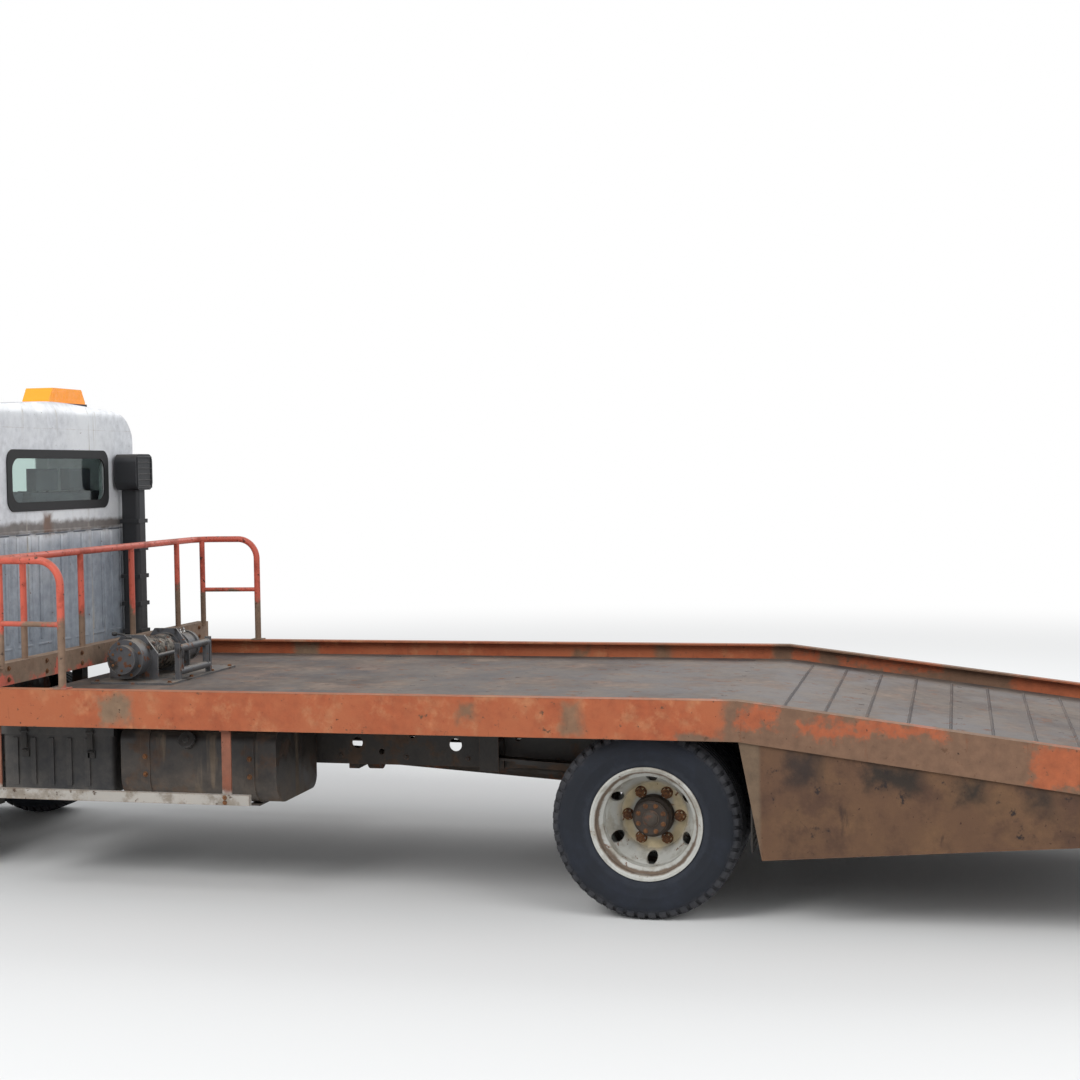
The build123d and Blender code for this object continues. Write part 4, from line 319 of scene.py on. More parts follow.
def wear(paint, rough, metal, radius, amount, scale=14.0):
    return "edge_wear", paint, rough, metal, dict(Radius=radius, Amount=amount, Scale=scale)


def dust(paint, rough, low, high, amount, up, scale=6.0):
    """Thrown dirt from full at height low to none at high, and dust on what faces up."""
    values = dict(Low=low, High=high, Amount=amount, Up=up, Scale=scale)
    return "road_dust", paint, rough, 0.0, values


def new_material(name):
    """A material with its tree, its shader and the Object coordinates."""
    material = bpy.data.materials.new(name)
    material.use_nodes = True
    tree = material.node_tree
    vector = tree.nodes.new("ShaderNodeTexCoord").outputs["Object"]
    return material, tree, tree.nodes["Principled BSDF"].inputs, vector


def finish(
    name, base, layers=(), rough=0.5, metal=0.0, vary=0.2, relief=(300.0, 12.0, 0.15),
    coat=0.0, centre=(0, 0, 0), glow=None,
):
    """A paint or bare surface, its layers on top; relief is fine scale, slow scale, strength."""
    material, tree, shader, vector = new_material(name)
    if any(centre):
        mapping = tree.nodes.new("ShaderNodeMapping")
        mapping.inputs["Location"].default_value = [-c for c in centre]
        tree.links.new(vector, mapping.inputs["Vector"])
        vector = mapping.outputs["Vector"]
    colour = place_group(tree, "tone_shift", vector, Color=base, Amount=vary, Scale=3.0)
    for kind, paint, layer_rough, layer_metal, values in layers:
        mask = place_group(tree, kind, vector, **values)
        own = place_group(tree, "tone_shift", vector, Color=paint, Amount=0.3, Scale=25.0)
        colour = mixed(tree, "RGBA", mask, colour, own)
        rough = mixed(tree, "FLOAT", mask, rough, layer_rough)
        if layer_metal != metal:
            metal = mixed(tree, "FLOAT", mask, metal, layer_metal)
    feed(tree, colour, shader["Base Color"])
    feed(tree, rough, shader["Roughness"])
    feed(tree, metal, shader["Metallic"])
    shader["Coat Weight"].default_value = coat
    shader["Coat Roughness"].default_value = 0.25
    fine, slow, strength = relief
    height = place_group(tree, "relief", vector, Fine=fine, Slow=slow)
    bump = tree.nodes.new("ShaderNodeBump")
    for label, value in (("Strength", strength), ("Distance", 0.004), ("Height", height)):
        feed(tree, value, bump.inputs[label])
    tree.links.new(bump.outputs["Normal"], shader["Normal"])
    if glow:
        shader["Emission Color"].default_value = glow
        shader["Emission Strength"].default_value = 0.15
    return material


def glass(name, tint, rough):
    """Clear glass under a thin uneven film."""
    material, tree, shader, vector = new_material(name)
    shader["Transmission Weight"].default_value = 1.0
    shader["IOR"].default_value = 1.45
    colour = place_group(tree, "tone_shift", vector, Color=tint, Amount=0.04, Scale=5.0)
    feed(tree, colour, shader["Base Color"])
    film = place_group(tree, "worn_patches", vector, Scale=7.0, Cover=0.45, Soft=0.25)
    feed(tree, mixed(tree, "FLOAT", film, rough, rough + 0.03), shader["Roughness"])
    return material


# Finishes
ACROSS = (-1.3, 1.3)
DUST = tone(158, 142, 122)
RUST = tone(98, 58, 36)
DARK_RUST = tone(58, 40, 32)
BARE = tone(124, 108, 96)
OIL = tone(30, 27, 25)

rail_paint = finish(
    "faded_orange_rail", tone(161, 88, 53), [
        patches(tone(147, 74, 43), 0.7, 3.0, 0.5, 0.14),
        patches(tone(165, 106, 72), 0.75, 9.0, 0.28, 0.1),
        area(tone(121, 98, 78), 0.75, (-1.36, -1.16), ACROSS, (0.75, 0.935), 0.2, 0.06, metal=0.1),
        area(tone(116, 87, 66), 0.75, (0.28, 0.40), ACROSS, (0.80, 0.925), 0.16, 0.05, metal=0.1),
        area(tone(121, 92, 71), 0.75, (0.72, 0.85), ACROSS, (0.76, 0.94), 0.12, 0.05, metal=0.1),
        area(tone(109, 84, 67), 0.8, (1.20, 3.9), ACROSS, (0.1, 0.80), 0.12, 0.03),
        area(tone(110, 83, 65), 0.8, (1.36, 3.9), ACROSS, (0.1, 1.0), 0.16, 0.06),
        area(tone(152, 80, 49), 0.7, (1.44, 1.64), ACROSS, (0.80, 0.925), 0.19, 0.05, 18.0),
        area(tone(153, 81, 50), 0.7, (1.69, 2.28), ACROSS, (0.78, 0.88), 0.22, 0.05, 18.0),
        area(tone(153, 81, 49), 0.7, (2.58, 3.04), ACROSS, (0.58, 0.80), 0.20, 0.05, 18.0),
        area(tone(149, 78, 48), 0.7, (3.30, 3.62), ACROSS, (0.50, 0.70), 0.20, 0.05, 18.0),
        patches(tone(92, 66, 49), 0.85, 22.0, 0.16, 0.04),
        patches(DARK_RUST, 0.85, 48.0, 0.10, 0.02),
        runs(tone(111, 66, 43), 0.8, 30.0, 0.16, 0.12),
        wear(tone(101, 77, 59), 0.6, 0.2, 0.007, 0.6),
        dust(tone(141, 113, 83), 0.9, 0.2, 0.9, 0.25, 0.5, 7.0),
    ], rough=0.6, vary=0.12, relief=(220.0, 30.0, 0.3),
)
hoop_paint = finish(
    "faded_red_hoop", tone(191, 86, 67), [
        patches(tone(162, 68, 50), 0.6, 9.0, 0.4, 0.06),
        area(tone(121, 98, 81), 0.7, (-2.2, -1.3), ACROSS, (0.9, 1.24), 0.5, 0.05, 6.0, metal=0.2),
        patches(DARK_RUST, 0.85, 34.0, 0.2, 0.02),
        wear(BARE, 0.5, 0.5, 0.005, 0.7),
        dust(DUST, 0.9, 0.7, 1.3, 0.4, 0.35, 9.0),
    ], rough=0.5, vary=0.2, relief=(260.0, 40.0, 0.25),
)
tail_paint = finish(
    "rusty_tail", tone(92, 66, 48), [
        patches(tone(102, 75, 52), 0.8, 2.6, 0.45, 0.16),
        patches(tone(78, 56, 43), 0.85, 6.0, 0.4, 0.12),
        area(tone(51, 40, 35), 0.85, (1.62, 1.84), ACROSS, (0.55, 0.78), 0.16, 0.10, 12.0),
        area(tone(45, 37, 31), 0.85, (1.92, 2.24), ACROSS, (0.54, 0.74), 0.16, 0.09, 12.0),
        area(tone(43, 36, 30), 0.85, (2.28, 2.48), ACROSS, (0.50, 0.68), 0.16, 0.10, 12.0),
        area(tone(49, 39, 33), 0.85, (2.54, 2.72), ACROSS, (0.47, 0.64), 0.14, 0.10, 12.0),
        area(tone(53, 42, 35), 0.85, (2.90, 3.3), ACROSS, (0.44, 0.60), 0.16, 0.12, 12.0),
        patches(tone(40, 32, 30), 0.85, 13.0, 0.16, 0.04),
        runs(tone(60, 44, 35), 0.85, 14.0, 0.2, 0.25),
        area(tone(100, 82, 65), 0.8, (1.4, 1.562), ACROSS, (0.2, 0.8), 0.02, 0.02),
        patches(DARK_RUST, 0.9, 44.0, 0.14, 0.02),
        wear(tone(109, 86, 69), 0.6, 0.1, 0.006, 0.5),
    ], rough=0.8, vary=0.16, relief=(180.0, 26.0, 0.35),
)
deck_steel = finish(
    "dusty_deck", tone(81, 77, 78), [
        patches(tone(72, 62, 59), 0.7, 1.6, 0.5, 0.1, metal=0.3),
        patches(tone(113, 94, 84), 0.85, 3.2, 0.3, 0.1),
        patches(RUST, 0.85, 12.0, 0.25, 0.03),
        patches(tone(52, 47, 47), 0.5, 24.0, 0.2, 0.03, metal=0.5),
        wear(tone(126, 119, 117), 0.4, 0.7, 0.005, 0.7),
        dust(tone(141, 126, 111), 0.95, -2.0, -1.0, 0.0, 0.55, 2.4),
    ], rough=0.6, metal=0.4, vary=0.25, relief=(160.0, 9.0, 0.35),
)
ramp_steel = finish(
    "ramp_steel", tone(98, 80, 68), [
        patches(RUST, 0.85, 9.0, 0.45, 0.05),
        wear(tone(150, 140, 130), 0.4, 0.7, 0.005, 0.8),
        dust(DUST, 0.9, 0.3, 0.6, 0.3, 0.5),
    ], rough=0.65, metal=0.3, vary=0.3, relief=(200.0, 20.0, 0.35),
)
chassis_paint = finish(
    "chassis_black", tone(48, 45, 43), [
        patches(tone(74, 56, 44), 0.85, 6.0, 0.35, 0.05),
        patches(OIL, 0.25, 4.0, 0.2, 0.05),
        wear(tone(110, 84, 66), 0.7, 0.2, 0.005, 0.6),
        dust(tone(120, 106, 92), 0.95, 0.1, 0.85, 0.55, 0.6),
    ], rough=0.6, vary=0.3, relief=(220.0, 24.0, 0.3),
)
bearer_paint = finish(
    "bearer_brown", tone(78, 62, 52), [
        patches(RUST, 0.85, 7.0, 0.4, 0.05),
        wear(tone(128, 100, 80), 0.7, 0.2, 0.005, 0.6),
        dust(DUST, 0.95, 0.2, 0.9, 0.45, 0.6),
    ], rough=0.7, vary=0.3, relief=(200.0, 24.0, 0.3),
)
cast_metal = finish(
    "oily_castings", tone(66, 60, 55), [
        patches(RUST, 0.85, 10.0, 0.4, 0.05),
        patches(OIL, 0.3, 6.0, 0.35, 0.06),
        wear(tone(120, 104, 90), 0.5, 0.5, 0.004, 0.6),
        dust(tone(120, 106, 92), 0.95, 0.1, 0.7, 0.5, 0.5),
    ], rough=0.65, metal=0.4, vary=0.3, relief=(140.0, 60.0, 0.6),
)
tank_paint = finish(
    "dusty_black_tank", tone(44, 41, 40), [
        patches(tone(70, 54, 44), 0.8, 7.0, 0.3, 0.06),
        runs(tone(94, 82, 70), 0.8, 12.0, 0.35, 0.1),
        wear(tone(98, 84, 72), 0.6, 0.3, 0.006, 0.6),
        dust(tone(126, 112, 98), 0.95, 0.3, 0.8, 0.6, 0.6),
    ], rough=0.45, vary=0.25, relief=(240.0, 14.0, 0.2),
)
black_plastic = finish(
    "black_plastic", tone(36, 37, 40), [
        wear(tone(92, 92, 94), 0.7, 0.0, 0.003, 0.4),
        dust(tone(128, 120, 110), 0.95, 0.3, 1.6, 0.3, 0.4),
    ], rough=0.55, vary=0.15, relief=(900.0, 30.0, 0.15),
)
guard_paint = finish(
    "light_grey_guard", tone(158, 154, 148), [
        patches(tone(126, 118, 108), 0.75, 8.0, 0.4, 0.06),
        area(tone(122, 72, 54), 0.8, (-1.95, -0.6), ACROSS, (0.49, 0.9), 0.06, 0.02),
        patches(DARK_RUST, 0.9, 22.0, 0.22, 0.03),
        wear(RUST, 0.7, 0.1, 0.004, 0.7),
        dust(DUST, 0.95, 0.2, 0.9, 0.35, 0.4),
    ], rough=0.55, vary=0.2, relief=(240.0, 30.0, 0.25),
)
bumper_paint = finish(
    "bumper_grey", tone(196, 196, 194), [
        patches(tone(150, 144, 136), 0.7, 6.0, 0.3, 0.07),
        patches(RUST, 0.9, 30.0, 0.14, 0.02),
        wear(tone(110, 92, 78), 0.6, 0.3, 0.006, 0.6),
        dust(DUST, 0.95, 0.2, 0.7, 0.55, 0.3),
    ], rough=0.4, vary=0.15, coat=0.2, relief=(240.0, 20.0, 0.12),
)
rubber = finish(
    "black_rubber", tone(38, 38, 39),
    [dust(tone(120, 110, 98), 0.95, 0.1, 1.0, 0.5, 0.4)],
    rough=0.75, vary=0.2, relief=(500.0, 30.0, 0.25),
)
exhaust_steel = finish(
    "rusty_exhaust", tone(96, 74, 60), [
        patches(tone(132, 78, 48), 0.9, 10.0, 0.45, 0.06),
        patches(DARK_RUST, 0.9, 18.0, 0.4, 0.05),
        dust(DUST, 0.95, 0.2, 0.7, 0.35, 0.5),
    ], rough=0.7, metal=0.5, vary=0.3, relief=(160.0, 40.0, 0.5),
)
winch_paint = finish(
    "winch_grey", tone(72, 74, 78), [
        patches(OIL, 0.3, 9.0, 0.3, 0.05),
        patches(RUST, 0.85, 20.0, 0.25, 0.03),
        wear(tone(150, 146, 140), 0.4, 0.7, 0.004, 0.8),
        dust(DUST, 0.95, 0.6, 1.2, 0.2, 0.6),
    ], rough=0.5, vary=0.2, relief=(220.0, 30.0, 0.25),
)
cab_white = finish(
    "cab_white", tone(226, 228, 230), [
        patches(tone(206, 208, 212), 0.45, 2.0, 0.45, 0.12),
        # Painted shade: the cab's back wall, from low down to just under the window, is turned
        # blue-grey where it lies in shade
        area(tone(139, 147, 157), 0.6, (-2.3, -1.9), (-0.9, 0.9), (0.3, 1.66), 0.3, 0.2, 3.0),
        area(tone(112, 106, 102), 0.6, (-2.3, -1.9), (-0.84, 0.84), (1.568, 1.662), 0.07, 0.035),
        area(tone(112, 88, 74), 0.7, (-2.3, -1.9), (-0.20, -0.06), (1.555, 1.71), 0.10, 0.05, 9.0),
        runs(tone(176, 170, 160), 0.6, 18.0, 0.3, 0.05),
        patches(RUST, 0.9, 46.0, 0.1, 0.015),
        wear(tone(150, 130, 112), 0.6, 0.2, 0.004, 0.45, 22.0),
        dust(tone(164, 154, 138), 0.9, 0.3, 1.15, 0.75, 0.18),
    ], rough=0.3, vary=0.06, coat=0.35, relief=(260.0, 6.0, 0.05),
)
trim_grey = finish(
    "moulded_grey_trim", tone(92, 93, 96), [
        wear(tone(136, 136, 136), 0.6, 0.0, 0.003, 0.3),
        dust(tone(150, 142, 130), 0.9, 0.5, 1.2, 0.2, 0.3),
    ], rough=0.6, vary=0.1, relief=(1200.0, 60.0, 0.2),
)
floor_mat = finish(
    "cab_floor_mat", tone(70, 70, 72),
    [dust(tone(140, 130, 114), 0.95, 0.3, 1.3, 0.4, 0.5)],
    rough=0.85, vary=0.15, relief=(700.0, 60.0, 0.4),
)
seat_cloth = finish(
    "woven_seat_cloth", tone(78, 84, 96), [
        patches(tone(96, 100, 108), 0.9, 5.0, 0.35, 0.1),
        patches(tone(60, 62, 70), 0.9, 260.0, 0.5, 0.06),
    ], rough=0.9, vary=0.12, relief=(1400.0, 90.0, 0.5),
)
bright_steel = finish(
    "bright_steel", tone(190, 188, 184),
    [patches(tone(120, 110, 100), 0.5, 20.0, 0.25, 0.06, metal=0.6)],
    rough=0.25, metal=1.0, vary=0.06, relief=(300.0, 30.0, 0.08),
)
mirror_glass = finish(
    "mirror_glass", tone(225, 230, 232), rough=0.04, metal=1.0, vary=0.02,
    relief=(40.0, 3.0, 0.01),
)
nut_rust = finish(
    "rusty_nuts", tone(118, 78, 48), [
        patches(tone(78, 50, 34), 0.9, 60.0, 0.45, 0.05),
        wear(tone(150, 118, 88), 0.6, 0.4, 0.003, 0.6),
    ], rough=0.8, metal=0.3, vary=0.3, relief=(400.0, 80.0, 0.4),
)
rope_steel = finish(
    "wire_rope", tone(118, 112, 104), [
        patches(OIL, 0.3, 30.0, 0.45, 0.06, metal=0.4),
        patches(RUST, 0.8, 22.0, 0.3, 0.05, metal=0.1),
    ], rough=0.45, metal=0.8, vary=0.3, relief=(900.0, 300.0, 0.6),
)
plate_white = finish(
    "blank_plate", tone(214, 214, 208), [
        patches(tone(176, 170, 158), 0.6, 12.0, 0.35, 0.08),
        wear(tone(90, 86, 82), 0.5, 0.2, 0.003, 0.6),
    ], rough=0.35, vary=0.06, relief=(300.0, 30.0, 0.05),
)
amber_lens = finish(
    "amber_lens", tone(250, 158, 32),
    [dust(tone(220, 150, 70), 0.6, 0.2, 0.6, 0.3, 0.25)],
    rough=0.2, vary=0.1, coat=0.6, relief=(120.0, 20.0, 0.06), glow=tone(255, 150, 20),
)
red_lens = finish(
    "red_lens", tone(176, 22, 20),
    [dust(DUST, 0.8, 0.2, 0.8, 0.25, 0.3)],
    rough=0.2, vary=0.1, coat=0.6, relief=(120.0, 20.0, 0.06),
)
clear_lens = glass("clear_lens", tone(240, 244, 246), 0.05)
lamp_white = finish(
    "frosted_lamp_white", tone(222, 222, 216),
    [dust(DUST, 0.8, 0.2, 0.8, 0.25, 0.3)],
    rough=0.2, vary=0.05, coat=0.6, relief=(160.0, 30.0, 0.08),
)
window_glass = glass("window_glass", tone(214, 228, 224), 0.02)
# Painted shade: the dark grey of the strips that stand in for the shade in the grooves of the cab's
# back
rib_groove_shade_paint = finish(
    "painted_rib_groove_shade", tone(92, 96, 102), rough=0.8, vary=0.3, relief=(300.0, 60.0, 0.2),
)
dial_face = finish("dial_face", tone(24, 24, 26), rough=0.4, vary=0.05, relief=(500.0, 40.0, 0.03))


def tyre_rubber(axle_x):
    return finish(
        "tyre_rubber_front" if axle_x < 0 else "tyre_rubber_rear", tone(24, 28, 36),
        [
            patches(tone(34, 38, 47), 0.9, 7.0, 0.4, 0.12),
            ring(tone(56, 56, 59), 0.95, 0.352, 0.5, 0.05, 0.03),
            ring(tone(43, 46, 53), 0.95, 0.2, 0.275, 0.04, 0.02),
        ], rough=0.82, vary=0.2, relief=(500.0, 40.0, 0.3), centre=(axle_x, 0, AXLE_Z),
    )


def rim_paint(axle_x):
    return finish(
        "rim_front" if axle_x < 0 else "rim_rear", tone(178, 178, 172),
        [
            patches(tone(150, 146, 136), 0.7, 9.0, 0.4, 0.08),
            ring(tone(188, 172, 140), 0.85, 0.085, 0.16, 0.05, 0.03),
            ring(tone(58, 50, 44), 0.7, -0.1, 0.092, 0.01, 0.006, metal=0.1),
            patches(RUST, 0.9, 24.0, 0.2, 0.03),
            ring(tone(104, 90, 78), 0.85, 0.2, 0.222, 0.02, 0.008),
            wear(tone(120, 100, 84), 0.6, 0.3, 0.004, 0.5),
        ], rough=0.5, vary=0.14, relief=(260.0, 24.0, 0.2), centre=(axle_x, 0, AXLE_Z),
    )


tyre_finish = {x: tyre_rubber(x) for x in (FRONT_AXLE_X, REAR_AXLE_X)}
rim_finish = {x: rim_paint(x) for x in (FRONT_AXLE_X, REAR_AXLE_X)}

# Finishes of the solid parts
finish_of = {
    "side_rails": rail_paint, "deck_plate": deck_steel, "platform_bearers": bearer_paint,
    "platform_runners": chassis_paint, "frame_rails": chassis_paint, "cross_members": chassis_paint,
    "spring_hangers": chassis_paint, "side_brackets": chassis_paint,
    "tail_panels": tail_paint, "ramps": ramp_steel, "headboard": hoop_paint, "winch": winch_paint,
    "winch_drum": winch_paint, "leaf_springs": chassis_paint,
    "rear_axle": chassis_paint, "front_axle": chassis_paint, "engine_block": cast_metal,
    "driveline": cast_metal, "fuel_tank": tank_paint, "battery_box": black_plastic,
    "air_tanks": tank_paint, "side_guards": guard_paint, "mudflaps": rubber,
    "bumper": bumper_paint, "air_intake": black_plastic, "exhaust": exhaust_steel,
    "rear_lamps": red_lens, "knuckle_left": cast_metal, "knuckle_right": cast_metal,
    "tie_rod": chassis_paint, "rim_front_left": rim_finish[FRONT_AXLE_X],
    "rim_front_right": rim_finish[FRONT_AXLE_X], "rims_rear_left": rim_finish[REAR_AXLE_X],
    "rims_rear_right": rim_finish[REAR_AXLE_X], "door_left": cab_white, "door_right": cab_white,
    "door_glass_left": window_glass, "door_glass_right": window_glass, "cab_floor": floor_mat,
    "cab_back": cab_white, "cab_sides": cab_white, "cab_steps": cab_white, "cab_roof": cab_white,
    "cab_front": cab_white,
    "cab_glass": window_glass, "window_seals": rubber, "grille": black_plastic,
    "headlamps": black_plastic, "dashboard": trim_grey, "steering_wheel": black_plastic,
    "mirrors": black_plastic, "beacon": amber_lens, "arch_liners": black_plastic,
}
for node, material in finish_of.items():
    parts[node].data.materials.clear()
    parts[node].data.materials.append(material)


# Making pieces
SMOOTH_ANGLE = radians(35)
FACING = {
    "+x": Matrix.Rotation(radians(90), 4, "Y"), "-x": Matrix.Rotation(radians(-90), 4, "Y"),
    "+y": Matrix.Rotation(radians(-90), 4, "X"), "-y": Matrix.Rotation(radians(90), 4, "X"),
    "+z": Matrix.Identity(4), "-z": Matrix.Rotation(pi, 4, "X"),
}


def outward(side):
    return "+y" if side > 0 else "-y"


def start_clean():
    if bpy.context.object and bpy.context.object.mode != "OBJECT":
        bpy.ops.object.mode_set(mode="OBJECT")
    bpy.ops.object.select_all(action="DESELECT")


def hold(piece):
    start_clean()
    piece.select_set(True)
    bpy.context.view_layer.objects.active = piece


def apply_place(piece):
    hold(piece)
    bpy.ops.object.transform_apply(location=True, rotation=True, scale=True)


def placed(piece, matrix):
    piece.matrix_world = matrix
    apply_place(piece)
    return piece


def shift(*place):
    return Matrix.Translation(Vector(place))


def leaning(place, degrees, axis):
    """A place, with a turn about one axis there."""
    return shift(*place) @ Matrix.Rotation(radians(degrees), 4, axis)


def round_edges(piece, width, segments=2, angle=30):
    hold(piece)
    bpy.ops.object.modifier_add(type="BEVEL")
    modifier = piece.modifiers[-1]
    modifier.width = width
    modifier.segments = segments
    modifier.limit_method = "ANGLE"
    modifier.angle_limit = radians(angle)
    bpy.ops.object.modifier_apply(modifier=modifier.name)
    bpy.ops.object.shade_smooth_by_angle(angle=SMOOTH_ANGLE)


def slab(low, high, bevel=0.003, segments=2):
    """A block between two corners with its edges rounded."""
    start_clean()
    low, high = Vector(low), Vector(high)
    bpy.ops.mesh.primitive_cube_add(size=1, location=(low + high) / 2)
    piece = bpy.context.object
    piece.scale = high - low
    apply_place(piece)
    if bevel:
        round_edges(piece, bevel, segments)
    return piece


def strip(x, y, half, z, bevel=0.001, segments=1):
    """A block by its X and Z spans, with its middle and half width in Y."""
    return slab((x[0], y - half, z[0]), (x[1], y + half, z[1]), bevel, segments)


def side_block(side, x, y, z, bevel=0.003, segments=2):
    """A block by its spans, the Y span measured out from the truck's middle."""
    low, high = zip(x, sorted(side * value for value in y), z)
    return slab(low, high, bevel, segments)


def turned(points, steps):
    """A round piece about Z, grown ring by ring: points are (radius, height)."""
    start_clean()
    points = [(max(radius, 1e-5), height) for radius, height in points]
    radius, height = points[0]
    bpy.ops.mesh.primitive_circle_add(vertices=steps, radius=radius, location=(0, 0, height))
    piece = bpy.context.object
    apply_place(piece)
    bpy.ops.object.mode_set(mode="EDIT")
    bpy.ops.mesh.select_mode(type="VERT")
    bpy.ops.mesh.select_all(action="SELECT")
    for next_radius, next_height in points[1:]:
        rise = (0, 0, next_height - height)
        bpy.ops.mesh.extrude_region_move(TRANSFORM_OT_translate={"value": rise})
        k = next_radius / radius
        bpy.ops.transform.resize(value=(k, k, 1), center_override=(0, 0, 0))
        radius, height = next_radius, next_height
    bpy.ops.mesh.select_all(action="SELECT")
    bpy.ops.mesh.remove_doubles(threshold=3e-5)
    bpy.ops.mesh.normals_make_consistent(inside=False)
    bpy.ops.object.mode_set(mode="OBJECT")
    bpy.ops.object.shade_smooth_by_angle(angle=SMOOTH_ANGLE)
    return piece


def lathe(points, steps, place, facing="+z"):
    """A turned piece at a place, its top looking along a direction."""
    return placed(turned(points, steps), shift(*place) @ FACING[facing])


def prism(radius, depth, height, bevel, segments):
    """A hexagon about Z with its middle at a height."""
    start_clean()
    bpy.ops.mesh.primitive_cylinder_add(
        vertices=6, radius=radius, depth=depth, location=(0, 0, height),
    )
    piece = bpy.context.object
    apply_place(piece)
    round_edges(piece, bevel, segments)
    return piece


def pipe(points, radius, sides=2):
    """A round bar through points."""
    start_clean()
    curve = bpy.data.curves.new("pipe", "CURVE")
    curve.dimensions = "3D"
    curve.bevel_depth = radius
    curve.bevel_resolution = sides
    curve.use_fill_caps = True
    spline = curve.splines.new("POLY")
    spline.points.add(len(points) - 1)
    for target, point in zip(spline.points, points):
        target.co = (*point, 1)
    piece = bpy.data.objects.new("pipe", curve)
    bpy.context.scene.collection.objects.link(piece)
    hold(piece)
    bpy.ops.object.convert(target="MESH")
    bpy.ops.object.shade_smooth_by_angle(angle=radians(50))
    return bpy.context.object


def copied(master, matrices, keep=False):
    """Copies of one piece, each with its own mesh, at each matrix; the master goes."""
    made = []
    for matrix in matrices:
        piece = master.copy()
        piece.data = master.data.copy()
        bpy.context.scene.collection.objects.link(piece)
        piece.matrix_world = matrix
        made.append(piece)
    if not keep:
        bpy.data.objects.remove(master)
    return made


def together(pieces):
    start_clean()
    for piece in pieces:
        piece.select_set(True)
    bpy.context.view_layer.objects.active = pieces[0]
    if len(pieces) > 1:
        bpy.ops.object.join()
    piece = bpy.context.view_layer.objects.active
    apply_place(piece)
    return piece


def settle(pieces, name, body, material, replaces=()):
    """Joins pieces, names the result, and gives it its finish and its body."""
    piece = together(pieces)
    piece.name = name
    piece.data.name = name
    piece.data.materials.clear()
    piece.data.materials.append(material)
    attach(piece, body)
    if replaces:
        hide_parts(*replaces)
    return piece


def bolt_head(radius, height):
    """A hexagon head on its washer, seated at z 0."""
    head = prism(radius, height, height / 2 + 0.0008, min(radius, height) * 0.18, 1)
    rim = radius * 1.4
    washer = turned([(0, -0.0005), (rim, -0.0005), (rim, 0.0011), (0, 0.0011)], 14)
    return together([head, washer])


def bolts(name, body, material, places, radius=0.009, height=0.007):
    """The same bolt at each (x, y, z, direction that it faces)."""
    spots = [shift(*place) @ FACING[facing] for *place, facing in places]
    settle(copied(bolt_head(radius, height), spots), name, body, material)


def on_circle(centre, radius, count, start=0.0):
    """Places on a circle about the Y axis through a centre."""
    x, y, z = centre
    angles = [tau * (i + start) / count for i in range(count)]
    return [(x + radius * cos(a), y, z + radius * sin(a)) for a in angles]


def ring_of_bolts(name, body, material, centre, facing, circle, count, radius, height):
    """Bolts on a circle, none of them at its end on +X."""
    places = [(*place, facing) for place in on_circle(centre, circle, count, 0.5)]
    bolts(name, body, material, places, radius, height)


def window_frame(x, y, half, z, wall, bevel=0.0015):
    """Four bars round an opening that looks along X, with its middle and half width in Y."""
    (x0, x1), (z0, z1) = x, z
    y0, y1 = y - half, y + half
    inset = wall * 0.6
    corners = [
        ((y0, z0), (y1, z0 + wall)), ((y0, z1 - wall), (y1, z1)),
        ((y0, z0 + inset), (y0 + wall, z1 - inset)), ((y1 - wall, z0 + inset), (y1, z1 - inset)),
    ]
    return together([slab((x0, *low), (x1, *high), bevel, 1) for low, high in corners])


# Tyres
LUGS = 52
TYRE_SIDE = [
    (0.2232, 0.082), (0.2245, 0.0855), (0.2385, 0.0872), (0.246, 0.093), (0.2515, 0.0965),
    (0.258, 0.0975), (0.262, 0.1010), (0.268, 0.1032), (0.285, 0.1083), (0.300, 0.1115),
    (0.303, 0.1128), (0.308, 0.1130), (0.311, 0.1125), (0.325, 0.1137), (0.338, 0.1139),
    (0.350, 0.1128), (0.360, 0.1090), (0.372, 0.1020), (0.382, 0.0900), (0.386, 0.0760),
    (0.3875, 0.0730), (0.3978, 0.0705), (0.3984, 0.0440), (0.3890, 0.0415), (0.3890, 0.0365),
    (0.3985, 0.0340), (0.3988, 0.0080), (0.3895, 0.0058),
]


def shoulder_lug():
    """One block of the tyre's shoulder, at the wheel's top, before it is turned round."""
    piece = slab((-0.0150, -0.0160, -0.0140), (0.0150, 0.0160, 0.0140), 0)
    bpy.ops.object.mode_set(mode="EDIT")
    bpy.ops.mesh.select_mode(type="VERT")
    bpy.ops.mesh.select_all(action="DESELECT")
    for way, step in ((1, (0, -0.004, -0.0075)), (-1, (0, 0.0015, -0.0060))):
        bpy.ops.object.mode_set(mode="OBJECT")
        for vertex in piece.data.vertices:
            vertex.select = vertex.co.z * way > 0 and vertex.co.y > 0
        bpy.ops.object.mode_set(mode="EDIT")
        bpy.ops.transform.translate(value=step)
    bpy.ops.object.mode_set(mode="OBJECT")
    round_edges(piece, 0.0018, 1)
    return placed(piece, shift(0, 0.0915, 0.3846))


def whole_tyre():
    """The tyre about the Y axis at the origin, alike on both sides."""
    outline = TYRE_SIDE + [(r, -y) for r, y in reversed(TYRE_SIDE)] + TYRE_SIDE[:1]
    carcass = placed(turned(outline, 96), FACING["+y"])
    turns = [Matrix.Rotation(tau * i / LUGS, 4, "Y") for i in range(LUGS)]
    half_way = Matrix.Rotation(tau * 0.5 / LUGS, 4, "Y") @ Matrix.Rotation(pi, 4, "Z")
    far = [matrix @ half_way for matrix in turns]
    return together([carcass] + copied(shoulder_lug(), turns + far))


